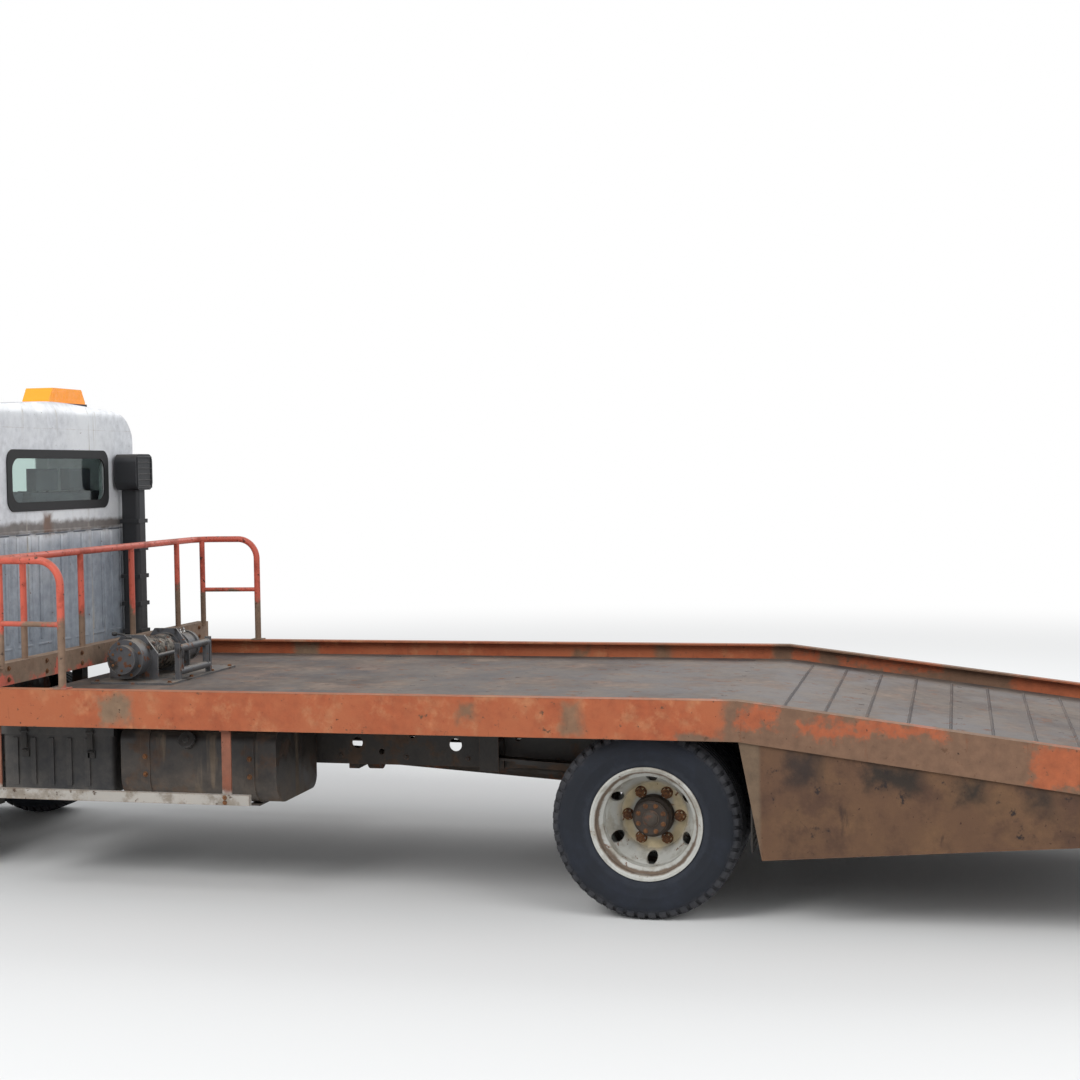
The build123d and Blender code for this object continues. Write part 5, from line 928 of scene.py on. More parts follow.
tyre = whole_tyre()
rear_ys = (REAR_OUTER_TYRE_Y, REAR_INNER_TYRE_Y)
for side_name, side in SIDES:
    for node, body, x, ys in (
        ("tyre_front", "wheel_front", FRONT_AXLE_X, (FRONT_TYRE_Y,)),
        ("tyres_rear", "wheels_rear", REAR_AXLE_X, rear_ys),
    ):
        node = f"{node}_{side_name}"
        made = copied(tyre, [shift(x, side * y, AXLE_Z) for y in ys], keep=True)
        body = f"{body}_{side_name}"
        settle(made, f"{node}_tread", body, tyre_finish[x], [node])
bpy.data.objects.remove(tyre)


# Wheel nuts, valves, hub bolts and hub caps
NUT_CIRCLE, NUT_COUNT = 0.1111, 6
VALVE_RADIUS, VALVE_ANGLE = 0.205, 0.5


def wheel_nut():
    """A chamfered nut on its stud, standing up from the disc at z 0."""
    nut = prism(0.0216, 0.025, 0.0125, 0.0022, 2)
    stud = turned([(0, 0.020), (0.0098, 0.020), (0.0098, 0.031), (0.0082, 0.033), (0, 0.033)], 14)
    seat = turned([(0, 0.0), (0.0262, 0.0), (0.0250, 0.0035), (0.021, 0.0045), (0, 0.0045)], 20)
    return together([nut, stud, seat])


for body, x, disc, hub, circle, count in (
    ("wheel_front", FRONT_AXLE_X, 0.855, 0.902, 0.048, 6),
    ("wheels_rear", REAR_AXLE_X, 0.845, 0.932, 0.057, 8),
):
    for side_name, side in SIDES:
        wheel, facing = f"{body}_{side_name}", outward(side)
        places = on_circle((x, side * disc, AXLE_Z), NUT_CIRCLE, NUT_COUNT)
        nuts = copied(wheel_nut(), [shift(*place) @ FACING[facing] for place in places])
        settle(nuts, f"{wheel}_nuts", wheel, nut_rust)
        stem = [
            (0, 0), (0.0045, 0), (0.0045, 0.028), (0.0065, 0.029), (0.0065, 0.044), (0, 0.046),
        ]
        valve = lathe(stem, 12, (
            x + VALVE_RADIUS * cos(VALVE_ANGLE), side * (disc - 0.012),
            AXLE_Z + VALVE_RADIUS * sin(VALVE_ANGLE),
        ), facing)
        settle([valve], f"{wheel}_valve", wheel, bright_steel)
        centre = (x, side * hub, AXLE_Z)
        ring_of_bolts(
            f"{wheel}_hub_bolts", wheel, nut_rust,
            centre, facing, circle, count, 0.0075, 0.006,
        )
        cap = lathe([
            (0, -0.001), (0.036, -0.001), (0.036, 0.003), (0.0325, 0.0035), (0.030, 0.009),
            (0.024, 0.0125), (0.012, 0.0140), (0, 0.0142),
        ], 28, centre, facing)
        settle([cap], f"{wheel}_hub_cap", wheel, cast_metal)


# Seats
PULL, CHANNEL_WIDTH, CHANNEL_DEPTH = 0.035, 0.022, 0.012
NO_CHANNEL = [9.0]


def cushion_form(low, high, crown, channels, across="X"):
    """A stuffed block: sides pulled in between the corners, top crowned, channels pressed in."""
    piece = slab(low, high, 0)
    hold(piece)
    bpy.ops.object.mode_set(mode="EDIT")
    bpy.ops.mesh.select_all(action="SELECT")
    bpy.ops.mesh.subdivide(number_cuts=31)
    bpy.ops.object.mode_set(mode="OBJECT")
    low, high = Vector(low), Vector(high)
    middle, half = (low + high) / 2, (high - low) / 2
    thin = min(range(3), key=lambda i: half[i])
    first, second = [i for i in range(3) if i != thin]
    for vertex in piece.data.vertices:
        u = [(vertex.co[i] - middle[i]) / half[i] for i in range(3)]
        edge_room = (1 - u[first] ** 2) * (1 - u[second] ** 2)
        full = 1 - crown + crown * max(0.0, edge_room) ** 0.35
        vertex.co[thin] = middle[thin] + half[thin] * u[thin] * full
        for i, other in ((first, second), (second, first)):
            pull = PULL * (1 - u[other] ** 2) * (1 - abs(u[thin]) * 0.4)
            vertex.co[i] = middle[i] + half[i] * u[i] * (1 - pull * abs(u[i]))
        if abs(u[thin]) > 0.9:
            along = vertex.co["XYZ".index(across)]
            dip = max(0.0, 1 - min(abs(along - c) for c in channels) / CHANNEL_WIDTH)
            vertex.co[thin] -= (1 if u[thin] > 0 else -1) * CHANNEL_DEPTH * dip * dip
    round_edges(piece, 0.012, 2, 40)
    hold(piece)
    bpy.ops.object.modifier_add(type="SUBSURF")
    modifier = piece.modifiers[-1]
    modifier.levels = modifier.render_levels = 1
    bpy.ops.object.modifier_apply(modifier=modifier.name)
    bpy.ops.object.shade_smooth()
    return piece


for seat_name, y0, y1, seams, head_ys in (
    ("driver", -0.64, -0.16, (0.25, 0.5, 0.75), [-0.40]),
    ("bench", -0.09, 0.64, (0.2, 0.4, 0.6, 0.8), [0.10, 0.45]),
):
    rows = [y0 + (y1 - y0) * k for k in seams]
    pad = cushion_form((-2.90, y0, 1.0805), (-2.432, y1, 1.197), 0.35, rows, "Y")
    pad_name = f"seat_cushion_{seat_name}"
    settle([pad], pad_name, "cab", seat_cloth, ["seat_cushions"])
    back = cushion_form((-2.425, y0, 1.112), (-2.312, y1, 1.80), 0.35, rows, "Y")
    placed(back, leaning((-2.37, 0, 1.112), 7.0, "Y") @ shift(2.37, 0, -1.112))
    pieces = [back]
    for y in head_ys:
        low, high = (-2.325, y - 0.115, 1.795), (-2.25, y + 0.115, 1.912)
        pieces.append(cushion_form(low, high, 0.3, NO_CHANNEL))
        for bar_y in (y - 0.05, y + 0.05):
            pieces.append(pipe([(-2.288, bar_y, 1.74), (-2.288, bar_y, 1.82)], 0.006, 3))
    back_name = f"seat_back_{seat_name}"
    back = settle(pieces, back_name, "cab", seat_cloth, ["seat_backs"])

# Frame, guards and mudflaps
FRAME_BOLT_XS = (
    -3.05, -2.42, -1.9, -1.55, -1.2, -0.85, -0.5, -0.18, 0.12, 0.55, 0.8, 1.3, 1.62,
)
bolts("frame_bolts", "chassis", chassis_paint, [
    (x, side * 0.375, z, outward(side))
    for side in BOTH for x in FRAME_BOLT_XS for z in (0.537, 0.663)
], 0.010, 0.008)
bolts("guard_bolts", "chassis", nut_rust, [
    (x, side * 1.1447, z, outward(side))
    for side in BOTH for x in (-1.86, -0.756) for z in (0.452, 0.473)
], 0.0075, 0.0035)
bolts("flap_bolts", "chassis", nut_rust, [
    (1.528, side * y, 0.6575, "+x") for side in BOTH for y in (0.63, 0.75, 0.87, 0.99)
], 0.008, 0.006)
FLAP_FRONT_X, FLAP_Y = 1.5125, 0.8275
ribs = []
for side in BOTH:
    y = side * FLAP_Y
    for z in (0.335, 0.365, 0.395):
        ribs.append(strip((FLAP_FRONT_X, 1.5165), y, 0.205, (z, z + 0.010), 0.0015))
    ribs.append(window_frame((FLAP_FRONT_X, 1.5150), y, 0.235, (0.308, 0.60), 0.008, 0.001))
settle(ribs, "flap_ribs", "chassis", rubber)

# Brake pipes along the frame, each in its clips
PIPE_Y = 0.352
lines = []
for y, z in ((-PIPE_Y, 0.632), (-PIPE_Y, 0.645), (PIPE_Y, 0.632)):
    lines.append(pipe([
        (-2.05, y * 0.98, z), (-2.0, y, z), (-0.6, y, z), (0.15, y, z), (0.74, y, z),
        (0.80, y * 0.985, z - 0.02), (0.84, y * 0.98, z - 0.09),
    ], 0.0042))
for x in (-1.85, -1.35, -0.95, -0.35, 0.05, 0.5):
    for side in BOTH:
        span = (PIPE_Y - 0.006, PIPE_Y + 0.0165)
        lines.append(side_block(side, (x, x + 0.022), span, (0.622, 0.654), 0.002, 1))
settle(lines, "brake_pipes", "chassis", bright_steel)

# Fuel tank: cap, drain and strap bolts
FUEL_CAP = leaning((-1.01, -0.962, 0.687), 59.7, "X")
lid = turned([
    (0, -0.003), (0.0345, -0.003), (0.0375, 0.0), (0.0385, 0.003), (0.0385, 0.0125),
    (0.0355, 0.0155), (0.016, 0.0170), (0.0145, 0.0205), (0.008, 0.0215), (0, 0.0215),
], 36)
grip = slab((-0.0030, 0.0365, 0.0015), (0.0030, 0.0405, 0.0130), 0.001, 1)
grips = copied(grip, [Matrix.Rotation(tau * i / 18, 4, "Z") for i in range(18)])
cap = placed(together([lid] + grips), FUEL_CAP)
settle([cap], "fuel_cap", "chassis", black_plastic)
bolts("tank_bolts", "chassis", nut_rust, [
    (x, -0.954, z, "-y") for x in (-1.22, -0.72) for z in (0.53, 0.61)
] + [(-0.97, -0.70, 0.405, "-z")])

# Battery box: rubber latches on their hooks
latches = []
for x in (-1.84, -1.51):
    for half, ys, zs, bevel, segments in (
        (0.014, (0.9190, 0.9095), (0.628, 0.738), 0.003, 2),
        (0.020, (0.9215, 0.9085), (0.700, 0.712), 0.003, 2),
        (0.018, (0.9080, 0.8990), (0.586, 0.624), 0.002, 1),
    ):
        latches.append(side_block(-1, (x - half, x + half), ys, zs, bevel, segments))
    latches.append(pipe([
        (x - 0.012, -0.900, 0.612), (x - 0.012, -0.918, 0.618),
        (x + 0.012, -0.918, 0.618), (x + 0.012, -0.900, 0.612),
    ], 0.0035))
settle(latches, "battery_latches", "chassis", rubber)

# Air tank's fittings, and the strap bands of the air tank and the silencer
AIR_TANK_Y, AIR_TANK_Z = 0.64, 0.60
stub = [
    (0, -0.004), (0.020, -0.004), (0.020, 0.006), (0.013, 0.008),
    (0.013, 0.020), (0.009, 0.022), (0, 0.022),
]
drain = [
    (0, -0.004), (0.014, -0.004), (0.014, 0.004), (0.007, 0.006), (0.007, 0.022),
    (0.011, 0.024), (0.011, 0.028), (0, 0.028),
]
settle([
    lathe(stub, 20, (-1.640, AIR_TANK_Y, AIR_TANK_Z), "-x"),
    lathe(stub, 20, (-1.020, AIR_TANK_Y, AIR_TANK_Z), "+x"),
    lathe(drain, 18, (-1.33, AIR_TANK_Y, 0.4705), "-z"),
], "air_tank_fittings", "chassis", bright_steel)
bands = []
for inner, outer, half, steps, xs, y, z in (
    (0.1295, 0.1325, 0.018, 56, (-1.52, -1.14), AIR_TANK_Y, AIR_TANK_Z),
    (0.1045, 0.1085, 0.010, 48, (-0.90, -0.50), 0.575, 0.56),
):
    hoop = [(inner, -half), (outer, -half), (outer, half), (inner, half), (inner, -half)]
    bands += [lathe(hoop, steps, (x, y, z), "+x") for x in xs]
settle(bands, "strap_bands", "chassis", chassis_paint)

# Winch: rope wound on the drum, clutch lever, bolts and terminals
WINCH_X, WINCH_Z = -1.65, 0.968
ROPE_CIRCLE, ROPE_HALF, ROPE_RADIUS = 0.0832, 0.1495, 0.0056
TURNS, STEPS = 26, 18
rope_points = []
for i in range(TURNS * STEPS + 1):
    a = tau * i / STEPS
    y = ROPE_HALF * (2 * i / (TURNS * STEPS) - 1)
    rope_points.append((WINCH_X + ROPE_CIRCLE * cos(a), y, WINCH_Z + ROPE_CIRCLE * sin(a)))
rope = pipe(rope_points, ROPE_RADIUS, 1)
settle([rope], "wound_rope", "winch_drum", rope_steel)
for name, y, facing, circle, count, radius in (
    ("winch_gear_bolts", -0.278, "-y", 0.083, 8, 0.0058),
    ("winch_cover_bolts", -0.316, "-y", 0.052, 6, 0.005),
    ("winch_motor_bolts", 0.428, "+y", 0.055, 4, 0.005),
):
    centre = (WINCH_X, y, WINCH_Z)
    ring_of_bolts(
        name, "chassis", nut_rust, centre, facing, circle, count, radius, 0.005,
    )
bolts("winch_base_bolts", "chassis", nut_rust, [
    (x, y, 0.860, "+z") for x in (-1.79, -1.405) for y in (-0.30, -0.05, 0.20, 0.42)
], 0.010, 0.008)
LEVER_Y = -0.235
hinge = [(0, 0.0), (0.016, 0.0), (0.016, 0.012), (0.012, 0.016), (0, 0.016)]
knob = [(0, -0.014), (0.009, -0.012), (0.012, 0), (0.009, 0.012), (0, 0.014)]
settle([
    lathe(hinge, 20, (WINCH_X, LEVER_Y, WINCH_Z + 0.093)),
    pipe([
        (WINCH_X, LEVER_Y, WINCH_Z + 0.103), (WINCH_X - 0.028, LEVER_Y, WINCH_Z + 0.118),
        (WINCH_X - 0.062, LEVER_Y, WINCH_Z + 0.121),
    ], 0.005),
    lathe(knob, 18, (WINCH_X - 0.074, LEVER_Y, WINCH_Z + 0.121), "+x"),
], "winch_clutch_lever", "chassis", black_plastic)
stud = [
    (0, 0), (0.013, 0), (0.013, 0.006), (0.009, 0.009), (0.009, 0.018), (0.006, 0.020),
    (0.006, 0.028), (0, 0.029),
]
studs = [lathe(stud, 16, (WINCH_X, y, WINCH_Z + 0.070)) for y in (0.30, 0.345, 0.39)]
settle(studs, "winch_terminals", "chassis", bright_steel)

# Headboard: bolts through its beam
bolts("headboard_bolts", "chassis", nut_rust, [
    (-1.848, 0.34 * k, z, "+x") for k in range(-3, 4) for z in (0.955, 1.005)
])

# Deck: plug welds over each bearer, further down behind the bend
DECK_Z, BEND_X, BEND_DEGREES, BEND_SLOPE = 0.850, 1.466, 7.2, 0.12633
bead = turned([
    (0, -0.001), (0.0135, -0.001), (0.0125, 0.0010), (0.008, 0.0022), (0.003, 0.0018),
    (0, 0.0018),
], 10)
spots = []
for x in (-1.5, -1.07, -0.64, -0.21, 0.22, 0.65, 1.31, 1.9, 2.33, 2.76, 3.19, 3.6):
    z = DECK_Z - max(0.0, x - BEND_X) * BEND_SLOPE
    tilt = BEND_DEGREES if x > BEND_X else 0.0
    for k in range(-5, 6):
        under_winch = x < -1.3 and abs(k) < 3
        if not under_winch:
            spots.append(leaning((x + 0.004 * (k % 3 - 1), k * 0.185, z), tilt, "Y"))
settle(copied(bead, spots), "deck_plug_welds", "chassis", deck_steel)

# Ramps: end plates with pull handles in their mouths
RAMP_Y, HANDLE_Z = 0.73, 0.506
half_handle = [(3.705, 0.06), (3.724, 0.058), (3.733, 0.048)]
handle_line = (
    [(x, -y) for x, y in half_handle] + [(3.735, 0)] + list(reversed(half_handle))
)
handles = []
for side in BOTH:
    y = side * RAMP_Y
    handles.append(pipe([(x, y + dy, HANDLE_Z) for x, dy in handle_line], 0.0052, 3))
    handles.append(strip((3.7120, 3.7200), y, 0.180, (0.4690, 0.5415), 0.0025, 2))
    for middle in (y - 0.1125, y + 0.1125):
        handles.append(strip((3.7185, 3.7225), middle, 0.0375, (0.4800, 0.5320), 0.0018, 2))
settle(handles, "ramp_handles", "chassis", ramp_steel)

# Lamps at the rear: case, coloured lenses with fluting
FLUTES = 7
cases, reds, ambers, clears = [], [], [], []
for side in BOTH:
    cases.append(side_block(side, (3.7363, 3.7460), (0.928, 1.078), (0.465, 0.543), 0.004))
    for start, end, lenses in (
        (1.024, 1.073, reds), (0.979, 1.021, ambers), (0.933, 0.976, clears),
    ):
        lens = side_block(side, (3.7445, 3.7575), (start, end), (0.4700, 0.5380), 0.004, 3)
        lenses.append(lens)
        y0, y1 = sorted((side * start, side * end))
        for k in range(FLUTES):
            y = y0 + (y1 - y0) * (k + 0.9) / (FLUTES + 0.8)
            lenses.append(strip((3.7560, 3.7590), y, 0.0012, (0.4760, 0.5320), 0.0008))
settle(cases, "rear_lamp_cases", "chassis", black_plastic, ["rear_lamps"])
settle(reds, "rear_lamp_red", "chassis", red_lens)
settle(ambers, "rear_lamp_amber", "chassis", amber_lens)
settle(clears, "rear_lamp_clear", "chassis", lamp_white)

# Blank number plates in their holders, the front one over the grille, where it tilts with
# the cab and stays clear of the bumper
plate = strip((3.7362, 3.7392), 0, 0.215, (0.4655, 0.5545), 0.0012)
settle([plate], "rear_plate", "chassis", plate_white)
holder = window_frame((3.7362, 3.7412), 0, 0.2205, (0.4622, 0.5578), 0.007, 0.0012)
settle([holder], "rear_plate_holder", "chassis", black_plastic)
plate = strip((-3.7000, -3.6970), 0, 0.255, (0.8745, 0.9795), 0.0012)
settle([plate], "front_plate", "cab", plate_white)
settle([
    window_frame((-3.7020, -3.6880), 0, 0.2605, (0.8690, 0.9850), 0.007, 0.0012),
    strip((-3.6975, -3.6900), 0, 0.250, (0.8780, 0.9760)),
], "front_plate_holder", "cab", black_plastic)
bolts("plate_bolts", "chassis", bright_steel, [
    (3.7392, y, z, "+x") for y in (-0.15, 0.15) for z in (0.476, 0.544)
], 0.0055, 0.003)

# Fog lamps in the bumper
reflectors, covers, rims = [], [], []
bowl = [
    (0, 0.0010), (0.010, 0.0012), (0.018, 0.0020), (0.0255, 0.0036), (0.0255, 0.0), (0, 0.0),
]
for side in BOTH:
    y = side * 0.61
    reflectors.append(strip((-3.7548, -3.7525), y, 0.077, (0.4065, 0.4635)))
    reflectors.append(lathe(bowl, 32, (-3.7535, y - side * 0.034, 0.435), "-x"))
    covers.append(strip((-3.7592, -3.7574), y, 0.0775, (0.4055, 0.4645), 0.0008))
    for k in range(13):
        flute_y = y - 0.070 + 0.0117 * k
        covers.append(strip((-3.7577, -3.7566), flute_y, 0.001, (0.410, 0.460), 0.0004))
    rims.append(window_frame((-3.7597, -3.7525), y, 0.0845, (0.3995, 0.4705), 0.007))
settle(reflectors, "fog_lamp_reflectors", "chassis", mirror_glass)
settle(covers, "fog_lamp_covers", "chassis", clear_lens)
settle(rims, "fog_lamp_rims", "chassis", black_plastic)

# Headlamps: case with bowls behind a fluted cover, indicator outboard
LAMP_HALF = 0.1325
bulb = [(0, 0.0), (0.011, 0.0), (0.011, 0.004), (0.008, 0.0065), (0, 0.0075)]
lamp_cases, bowls, bulbs, indicators, lamp_covers = [], [], [], [], []
for side in BOTH:
    divider = 0.078 * side
    near, far = sorted((divider + 0.004 * side, side * 0.126))
    middle, half = (near + far) / 2, (far - near) / 2
    made = [
        (lamp_cases, strip((0.0125, 0.0215), 0, LAMP_HALF, (-0.090, 0.090), 0.002)),
        (lamp_cases, window_frame((0.0, 0.0150), 0, LAMP_HALF, (-0.090, 0.090), 0.0085, 0.003)),
        (lamp_cases, strip((0.002, 0.0150), divider, 0.003, (-0.084, 0.084))),
        (indicators, strip((0.0035, 0.0135), middle, half, (-0.0815, 0.0815), 0.002)),
        (lamp_covers, strip((0.0003, 0.0023), 0, LAMP_HALF - 0.006, (-0.084, 0.084), 0.0006)),
    ]
    for u, r in ((-0.066, 0.056), (0.028, 0.041)):
        bowl = [
            (0, 0.0015), (r * 0.35, 0.0020), (r * 0.62, 0.0040), (r * 0.86, 0.0075),
            (r * 0.97, 0.0105), (r, 0.0105), (r, 0.0), (0, 0.0),
        ]
        made.append((bowls, lathe(bowl, 44, (0.0128, u * side, 0), "-x")))
        made.append((bulbs, lathe(bulb, 20, (0.0118, u * side, 0), "-x")))
    for k in range(15):
        z = -0.074 + 0.0106 * k
        span = (z - 0.0014, z + 0.0014)
        made.append((indicators, strip((0.0020, 0.0045), middle, half - 0.003, span, 0.0006)))
    seat = leaning((-3.6862, side * 0.6775, 0.76), 2.3 * side, "Z")
    for group, piece in made:
        group.append(placed(piece, seat))
settle(lamp_cases, "headlamp_cases", "cab", black_plastic, ["headlamps"])
settle(bowls, "headlamp_bowls", "cab", mirror_glass)
settle(bulbs, "headlamp_bulbs", "cab", lamp_white)
settle(indicators, "front_indicators", "cab", amber_lens)
settle(lamp_covers, "headlamp_covers", "cab", clear_lens)


# Wipers on the windscreen
def on_screen(y, z, out):
    """A place at a distance off the windscreen's slope."""
    return (-3.659 + (z - 1.44) * 0.3745 - 0.936 * out, y, z + 0.351 * out)


pivot = [(0, -0.012), (0.017, -0.012), (0.017, 0.006), (0.012, 0.012), (0, 0.013)]
arms, rubbers = [], []
for y0 in (-0.63, -0.03):
    arms.append(placed(turned(pivot, 22), leaning((-3.684, y0, 1.405), -70, "Y")))
    arms.append(pipe([
        (-3.693, y0, 1.408), on_screen(y0 + 0.04, 1.455, 0.026),
        on_screen(y0 + 0.27, 1.492, 0.020),
    ], 0.0048))
    arms.append(pipe([
        on_screen(y0 + 0.06, 1.462, 0.013), on_screen(y0 + 0.27, 1.492, 0.017),
        on_screen(y0 + 0.50, 1.527, 0.013),
    ], 0.0036))
    for k in range(5):
        y = y0 + 0.07 + 0.105 * k
        z = 1.461 + (y - y0 - 0.06) * 0.148
        ends = [on_screen(y, z, 0.0145), on_screen(y, z - 0.004, 0.0075)]
        arms.append(pipe(ends, 0.0030, 1))
    ends = [on_screen(y0 + 0.045, 1.455, 0.0058), on_screen(y0 + 0.515, 1.525, 0.0058)]
    rubbers.append(pipe(ends, 0.0040))
settle(arms, "wiper_arms", "cab", black_plastic)
settle(rubbers, "wiper_blades", "cab", rubber)

# Cab outside: mirrors' glass, gutters over the doors, side repeaters
glasses, gutters, repeaters = [], [], []
for side in BOTH:
    glasses.append(strip((-3.6325, -3.6292), side * 1.06, 0.071, (1.576, 1.876), 0.0012))
    gutters.append(pipe([
        (-3.46, side * 0.822, 2.076), (-3.40, side * 0.826, 2.096), (-2.9, side * 0.827, 2.100),
        (-2.30, side * 0.827, 2.098), (-2.22, side * 0.824, 2.090),
    ], 0.0062))
    lens = slab((-0.021, -0.010, -0.017), (0.021, 0.010, 0.017), 0.005, 2)
    repeaters.append(placed(lens, leaning((-3.590, side * 0.862, 1.02), -12 * side, "Z")))
settle(glasses, "mirror_faces", "cab", mirror_glass)
settle(gutters, "roof_gutters", "cab", cab_white)
settle(repeaters, "side_repeaters", "cab", amber_lens)

# Beacon: fluting on its long faces, a dark base strip and its screws
settle([
    strip((x - 0.0022, x + 0.0022), 0.036 + 0.0147 * k, 0.0026, (2.2560, 2.3180), 0.0014)
    for x in (-2.3300, -2.1800) for k in range(22)
], "beacon_flutes", "cab", amber_lens)
settle([
    strip((-2.3368, -2.3335), 0.194, 0.1946, (2.2360, 2.2496), 0.0012),
    strip((-2.1765, -2.1732), 0.194, 0.1946, (2.2100, 2.2496), 0.0012),
], "beacon_base_strip", "cab", black_plastic)
bolts("beacon_screws", "cab", bright_steel, [
    (-2.1735, y, 2.232, "+x") for y in (0.04, 0.35)
], 0.005, 0.003)

# Cab back: pressed ribs between two lipped seams, with a dark strip of painted shade beside each
# rib and under the upper seam
WALL_IN_X, RIB_OUT_X, SEAM_OUT_X, SHADE_STRIP_OUT_X = -2.1340, -2.1245, -2.1265, -2.1290
ribs, groove_shade_strips = [], []
for k in range(-7, 8):
    y = 0.108 * k
    ribs.append(strip((WALL_IN_X, RIB_OUT_X), y, 0.0130, (1.060, 1.575), 0.0045, 3))
    # Painted shade: a dark strip beside each rib, where the groove lies in shade
    groove_shade_strips.append(strip((WALL_IN_X, SHADE_STRIP_OUT_X), y + 0.0165, 0.003, (1.066, 1.570)))
for z in (1.592, 1.030):
    ribs.append(strip((WALL_IN_X, SEAM_OUT_X), 0, 0.800, (z, z + 0.012), 0.0028, 2))
# Painted shade: a dark strip under the upper seam
groove_shade_strips.append(strip((WALL_IN_X, SHADE_STRIP_OUT_X), 0, 0.790, (1.5800, 1.5880)))
settle(ribs, "cab_back_ribs", "cab", cab_white)
settle(groove_shade_strips, "cab_back_painted_groove_shade", "cab", rib_groove_shade_paint)

# Doors: lock, handle recess, and the trim inside with its armrest, winder and pull
lock = [
    (0, -0.001), (0.0105, -0.001), (0.0105, 0.002), (0.008, 0.004), (0.0035, 0.004),
    (0.0035, 0.0028), (0, 0.0028),
]
boss = [(0, 0), (0.021, 0), (0.021, 0.008), (0.015, 0.012), (0.013, 0.024), (0, 0.025)]
grip = [(0, 0.0), (0.008, 0.002), (0.0115, 0.010), (0.0115, 0.026), (0.008, 0.032), (0, 0.033)]
for side_name, side in SIDES:
    door = f"door_{side_name}"
    outer = lathe(lock, 22, (-2.672, side * 0.860, 1.28), outward(side))
    settle([outer], f"{door}_lock", door, bright_steel)
    recess = side_block(side, (-2.850, -2.690), (0.858, 0.8632), (1.250, 1.311), 0.0025)
    settle([recess], f"{door}_handle_recess", door, black_plastic)
    settle([
        side_block(side, (-3.44, -2.70), (0.8085, 0.8205), (1.065, 1.41), 0.006),
        side_block(side, (-3.40, -2.74), (0.8050, 0.8120), (1.265, 1.385), 0.005),
        side_block(side, (-3.16, -2.74), (0.7640, 0.8120), (1.180, 1.222), 0.014, 3),
        side_block(side, (-3.42, -3.22), (0.8055, 0.8120), (1.085, 1.215), 0.005),
    ], f"{door}_trim", door, trim_grey)
    settle([
        lathe(boss, 24, (-3.30, side * 0.8055, 1.265), outward(-side)),
        lathe(grip, 20, (-3.385, side * 0.786, 1.232), outward(-side)),
        pipe([
            (-3.30, side * 0.7855, 1.265), (-3.345, side * 0.782, 1.247),
            (-3.388, side * 0.786, 1.231),
        ], 0.0058),
        side_block(side, (-2.90, -2.79), (0.788, 0.8055), (1.322, 1.350), 0.005),
    ], f"{door}_winder", door, black_plastic)

# Inside the cab: gauges
faces, bezels, marks = [], [], []
for y, z, r in ((-0.465, 1.384, 0.040), (-0.335, 1.384, 0.040), (-0.400, 1.402, 0.020)):
    face = [(0, -0.004), (r * 0.93, -0.004), (r * 0.93, 0.0012), (0, 0.0012)]
    bezel = [
        (r * 0.90, -0.003), (r * 1.06, -0.003), (r * 1.02, 0.0045), (r * 0.93, 0.0030),
        (r * 0.90, -0.003),
    ]
    faces.append(lathe(face, 36, (-3.2885, y, z), "+x"))
    bezels.append(lathe(bezel, 36, (-3.2885, y, z), "+x"))
    for k in range(11):
        tick = slab((-0.0004, -0.0007, r * 0.72), (0.0004, 0.0007, r * 0.86), 0)
        marks.append(placed(tick, leaning((-3.2870, y, z), -130 + 26 * k, "X")))
    hand = slab((-0.0006, -0.0010, -r * 0.12), (0.0006, 0.0010, r * 0.66), 0)
    marks.append(placed(hand, leaning((-3.2862, y, z), 128, "X")))
settle(faces, "gauge_faces", "cab", dial_face)
settle(bezels, "gauge_bezels", "cab", bright_steel)
settle(marks, "gauge_marks", "cab", plate_white)

# Vents, and the radio's face with its knobs and keys
vents = []
for y in (-0.70, -0.10, 0.14, 0.70):
    vents.append(window_frame((-3.322, -3.296), y, 0.062, (1.262, 1.330), 0.006))
    for k in range(5):
        louvre = slab((-0.010, -0.057, -0.0012), (0.006, 0.057, 0.0012), 0)
        vents.append(placed(louvre, leaning((-3.306, y, 1.274 + 0.011 * k), 25, "Y")))
vents.append(strip((-3.325, -3.292), 0.325, 0.090, (1.255, 1.305), 0.003, 2))
for y in (0.252, 0.398):
    dial = [(0, 0), (0.012, 0), (0.011, 0.012), (0, 0.013)]
    vents.append(lathe(dial, 20, (-3.293, y, 1.280), "+x"))
for k in range(6):
    vents.append(strip((-3.294, -3.289), 0.2825 + 0.017 * k, 0.0065, (1.262, 1.270)))
settle(vents, "dash_vents", "cab", black_plastic)

# Pedals and gear lever
pedals = []
for y, half in ((-0.545, 0.034), (-0.420, 0.034), (-0.290, 0.024)):
    pad = [strip((-0.004, 0.004), 0, half, (-0.034, 0.034), 0.003, 2)]
    for k in range(-2, 3):
        span = (0.012 * k - 0.002, 0.012 * k + 0.002)
        pad.append(strip((0.003, 0.006), 0, half - 0.004, span, 0.0008))
    pedals.append(placed(together(pad), leaning((-3.490, y, 0.865), -28, "Y")))
    pedals.append(pipe([
        (-3.495, y, 0.872), (-3.535, y, 0.915), (-3.560, y, 0.985), (-3.560, y, 1.03),
    ], 0.007))
settle(pedals, "pedals", "cab", black_plastic)
boot = lathe([
    (0, -0.002), (0.070, -0.002), (0.070, 0.008), (0.055, 0.016), (0.058, 0.026),
    (0.043, 0.034), (0.046, 0.044), (0.030, 0.052), (0.032, 0.062), (0.016, 0.070),
    (0.011, 0.080), (0, 0.081),
], 28, (-3.275, -0.03, 0.742))
settle([boot], "gear_boot", "cab", rubber)
knob = [
    (0, -0.020), (0.012, -0.018), (0.021, -0.006), (0.024, 0.008), (0.019, 0.022),
    (0.008, 0.029), (0, 0.030),
]
settle([
    pipe([
        (-3.275, -0.03, 0.80), (-3.268, -0.035, 0.95), (-3.235, -0.06, 1.10),
        (-3.205, -0.075, 1.185),
    ], 0.0075, 3),
    lathe(knob, 24, (-3.200, -0.078, 1.205)),
], "gear_lever", "cab", black_plastic)

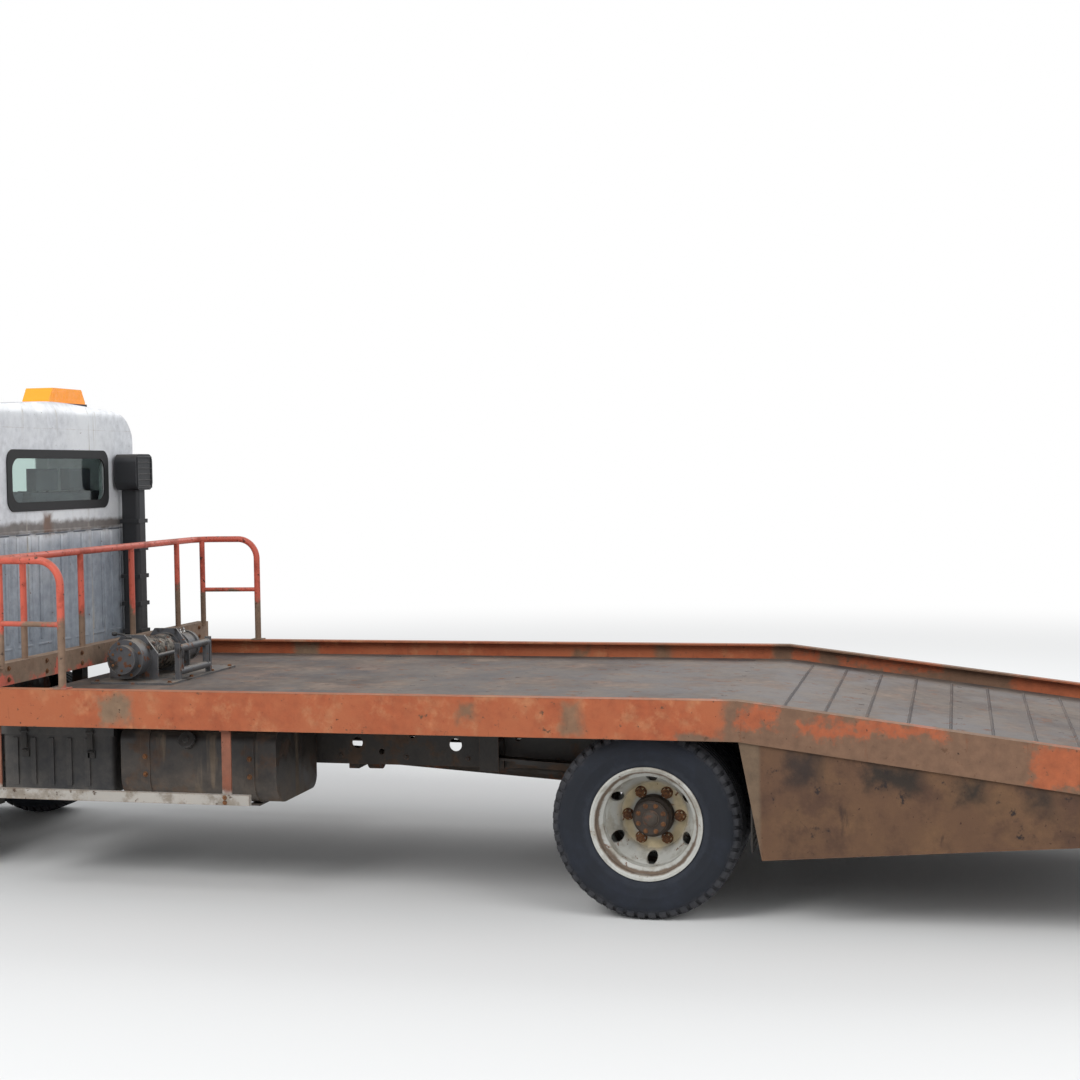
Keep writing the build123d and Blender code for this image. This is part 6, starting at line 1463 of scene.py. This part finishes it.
# Visors and inside mirror
visors = []
for y0, y1 in ((-0.62, -0.14), (0.14, 0.62)):
    visor = slab((-0.011, y0, -0.080), (0.011, y1, 0.080), 0.009, 3)
    visors.append(placed(visor, leaning((-3.325, 0, 2.088), 65, "Y")))
settle(visors, "sun_visors", "cab", trim_grey)
settle([
    strip((-3.424, -3.404), 0, 0.125, (1.905, 1.965), 0.007, 3),
    pipe([(-3.414, 0, 1.955), (-3.405, 0, 2.00), (-3.402, 0, 2.055)], 0.006),
], "inside_mirror", "cab", black_plastic)
face = strip((-3.4045, -3.4025), 0, 0.116, (1.912, 1.958), 0.0008)
settle([face], "inside_mirror_face", "cab", mirror_glass)

# Intake head: louvres in their frame
louvres = []
for k in range(5):
    blade = slab((-0.008, 0.582, -0.0015), (0.008, 0.738, 0.0015), 0)
    louvres.append(placed(blade, leaning((-1.9885, 0, 1.815 + 0.032 * k), 35, "Y")))
louvres.append(window_frame((-1.9870, -1.9800), 0.660, 0.085, (1.800, 1.972), 0.007))
settle(louvres, "intake_louvres", "chassis", black_plastic)


# Floor, light and background
def seen_as(tree, factor, real, shown, output):
    """Shows one shader in place of another as far as a factor says."""
    blend = tree.nodes.new("ShaderNodeMixShader")
    for value, socket in zip((factor, real, shown), blend.inputs):
        tree.links.new(value, socket)
    tree.links.new(blend.outputs["Shader"], tree.nodes[output].inputs["Surface"])


bpy.ops.mesh.primitive_circle_add(
    vertices=96, radius=60, fill_type="NGON", location=(0, 0, 0),
)
ground = bpy.context.object
ground.name = "studio_floor"
ground_paint, tree, shader, place = new_material("studio_floor")
shader["Base Color"].default_value = (0.74, 0.74, 0.73, 1)
shader["Roughness"].default_value = 0.9
far = step_up(tree, vector_node(tree, "LENGTH", place), 5.0, 16.0)
rays = tree.nodes.new("ShaderNodeLightPath").outputs
seen = math_node(tree, "MULTIPLY", far, rays["Is Camera Ray"])
white = tree.nodes.new("ShaderNodeEmission")
white.inputs["Color"].default_value = (1, 1, 1, 1)
real = tree.nodes["Principled BSDF"].outputs["BSDF"]
seen_as(tree, seen, real, white.outputs["Emission"], "Material Output")
ground.data.materials.append(ground_paint)

world = bpy.data.worlds.new("studio")
bpy.context.scene.world = world
world.use_nodes = True
tree = world.node_tree
lit = tree.nodes["Background"]
lit.inputs["Color"].default_value = (0.93, 0.96, 1.0, 1)
lit.inputs["Strength"].default_value = 0.62
shown = tree.nodes.new("ShaderNodeBackground")
shown.inputs["Color"].default_value = (1, 1, 1, 1)
rays = tree.nodes.new("ShaderNodeLightPath").outputs
either = math_node(tree, "MAXIMUM", rays["Is Camera Ray"], rays["Is Transmission Ray"])
seen_as(tree, either, lit.outputs[0], shown.outputs[0], "World Output")


def lamp(name, place, target, size, power):
    bpy.ops.object.light_add(type="AREA", location=place)
    light = bpy.context.object
    light.name = name
    light.data.size = size
    light.data.energy = power
    aim = Vector(target) - Vector(place)
    light.rotation_euler = aim.to_track_quat("-Z", "Y").to_euler()


lamp("key_light", (-4.0, -8.0, 7.5), (0.5, 0, 0.8), 5.0, 620)
lamp("fill_light", (7.0, -5.0, 4.5), (0.5, 0, 0.8), 5.0, 260)
lamp("back_light", (2.0, 8.0, 7.0), (0, 0, 0.8), 6.0, 420)

bpy.context.scene.view_settings.view_transform = "Standard"
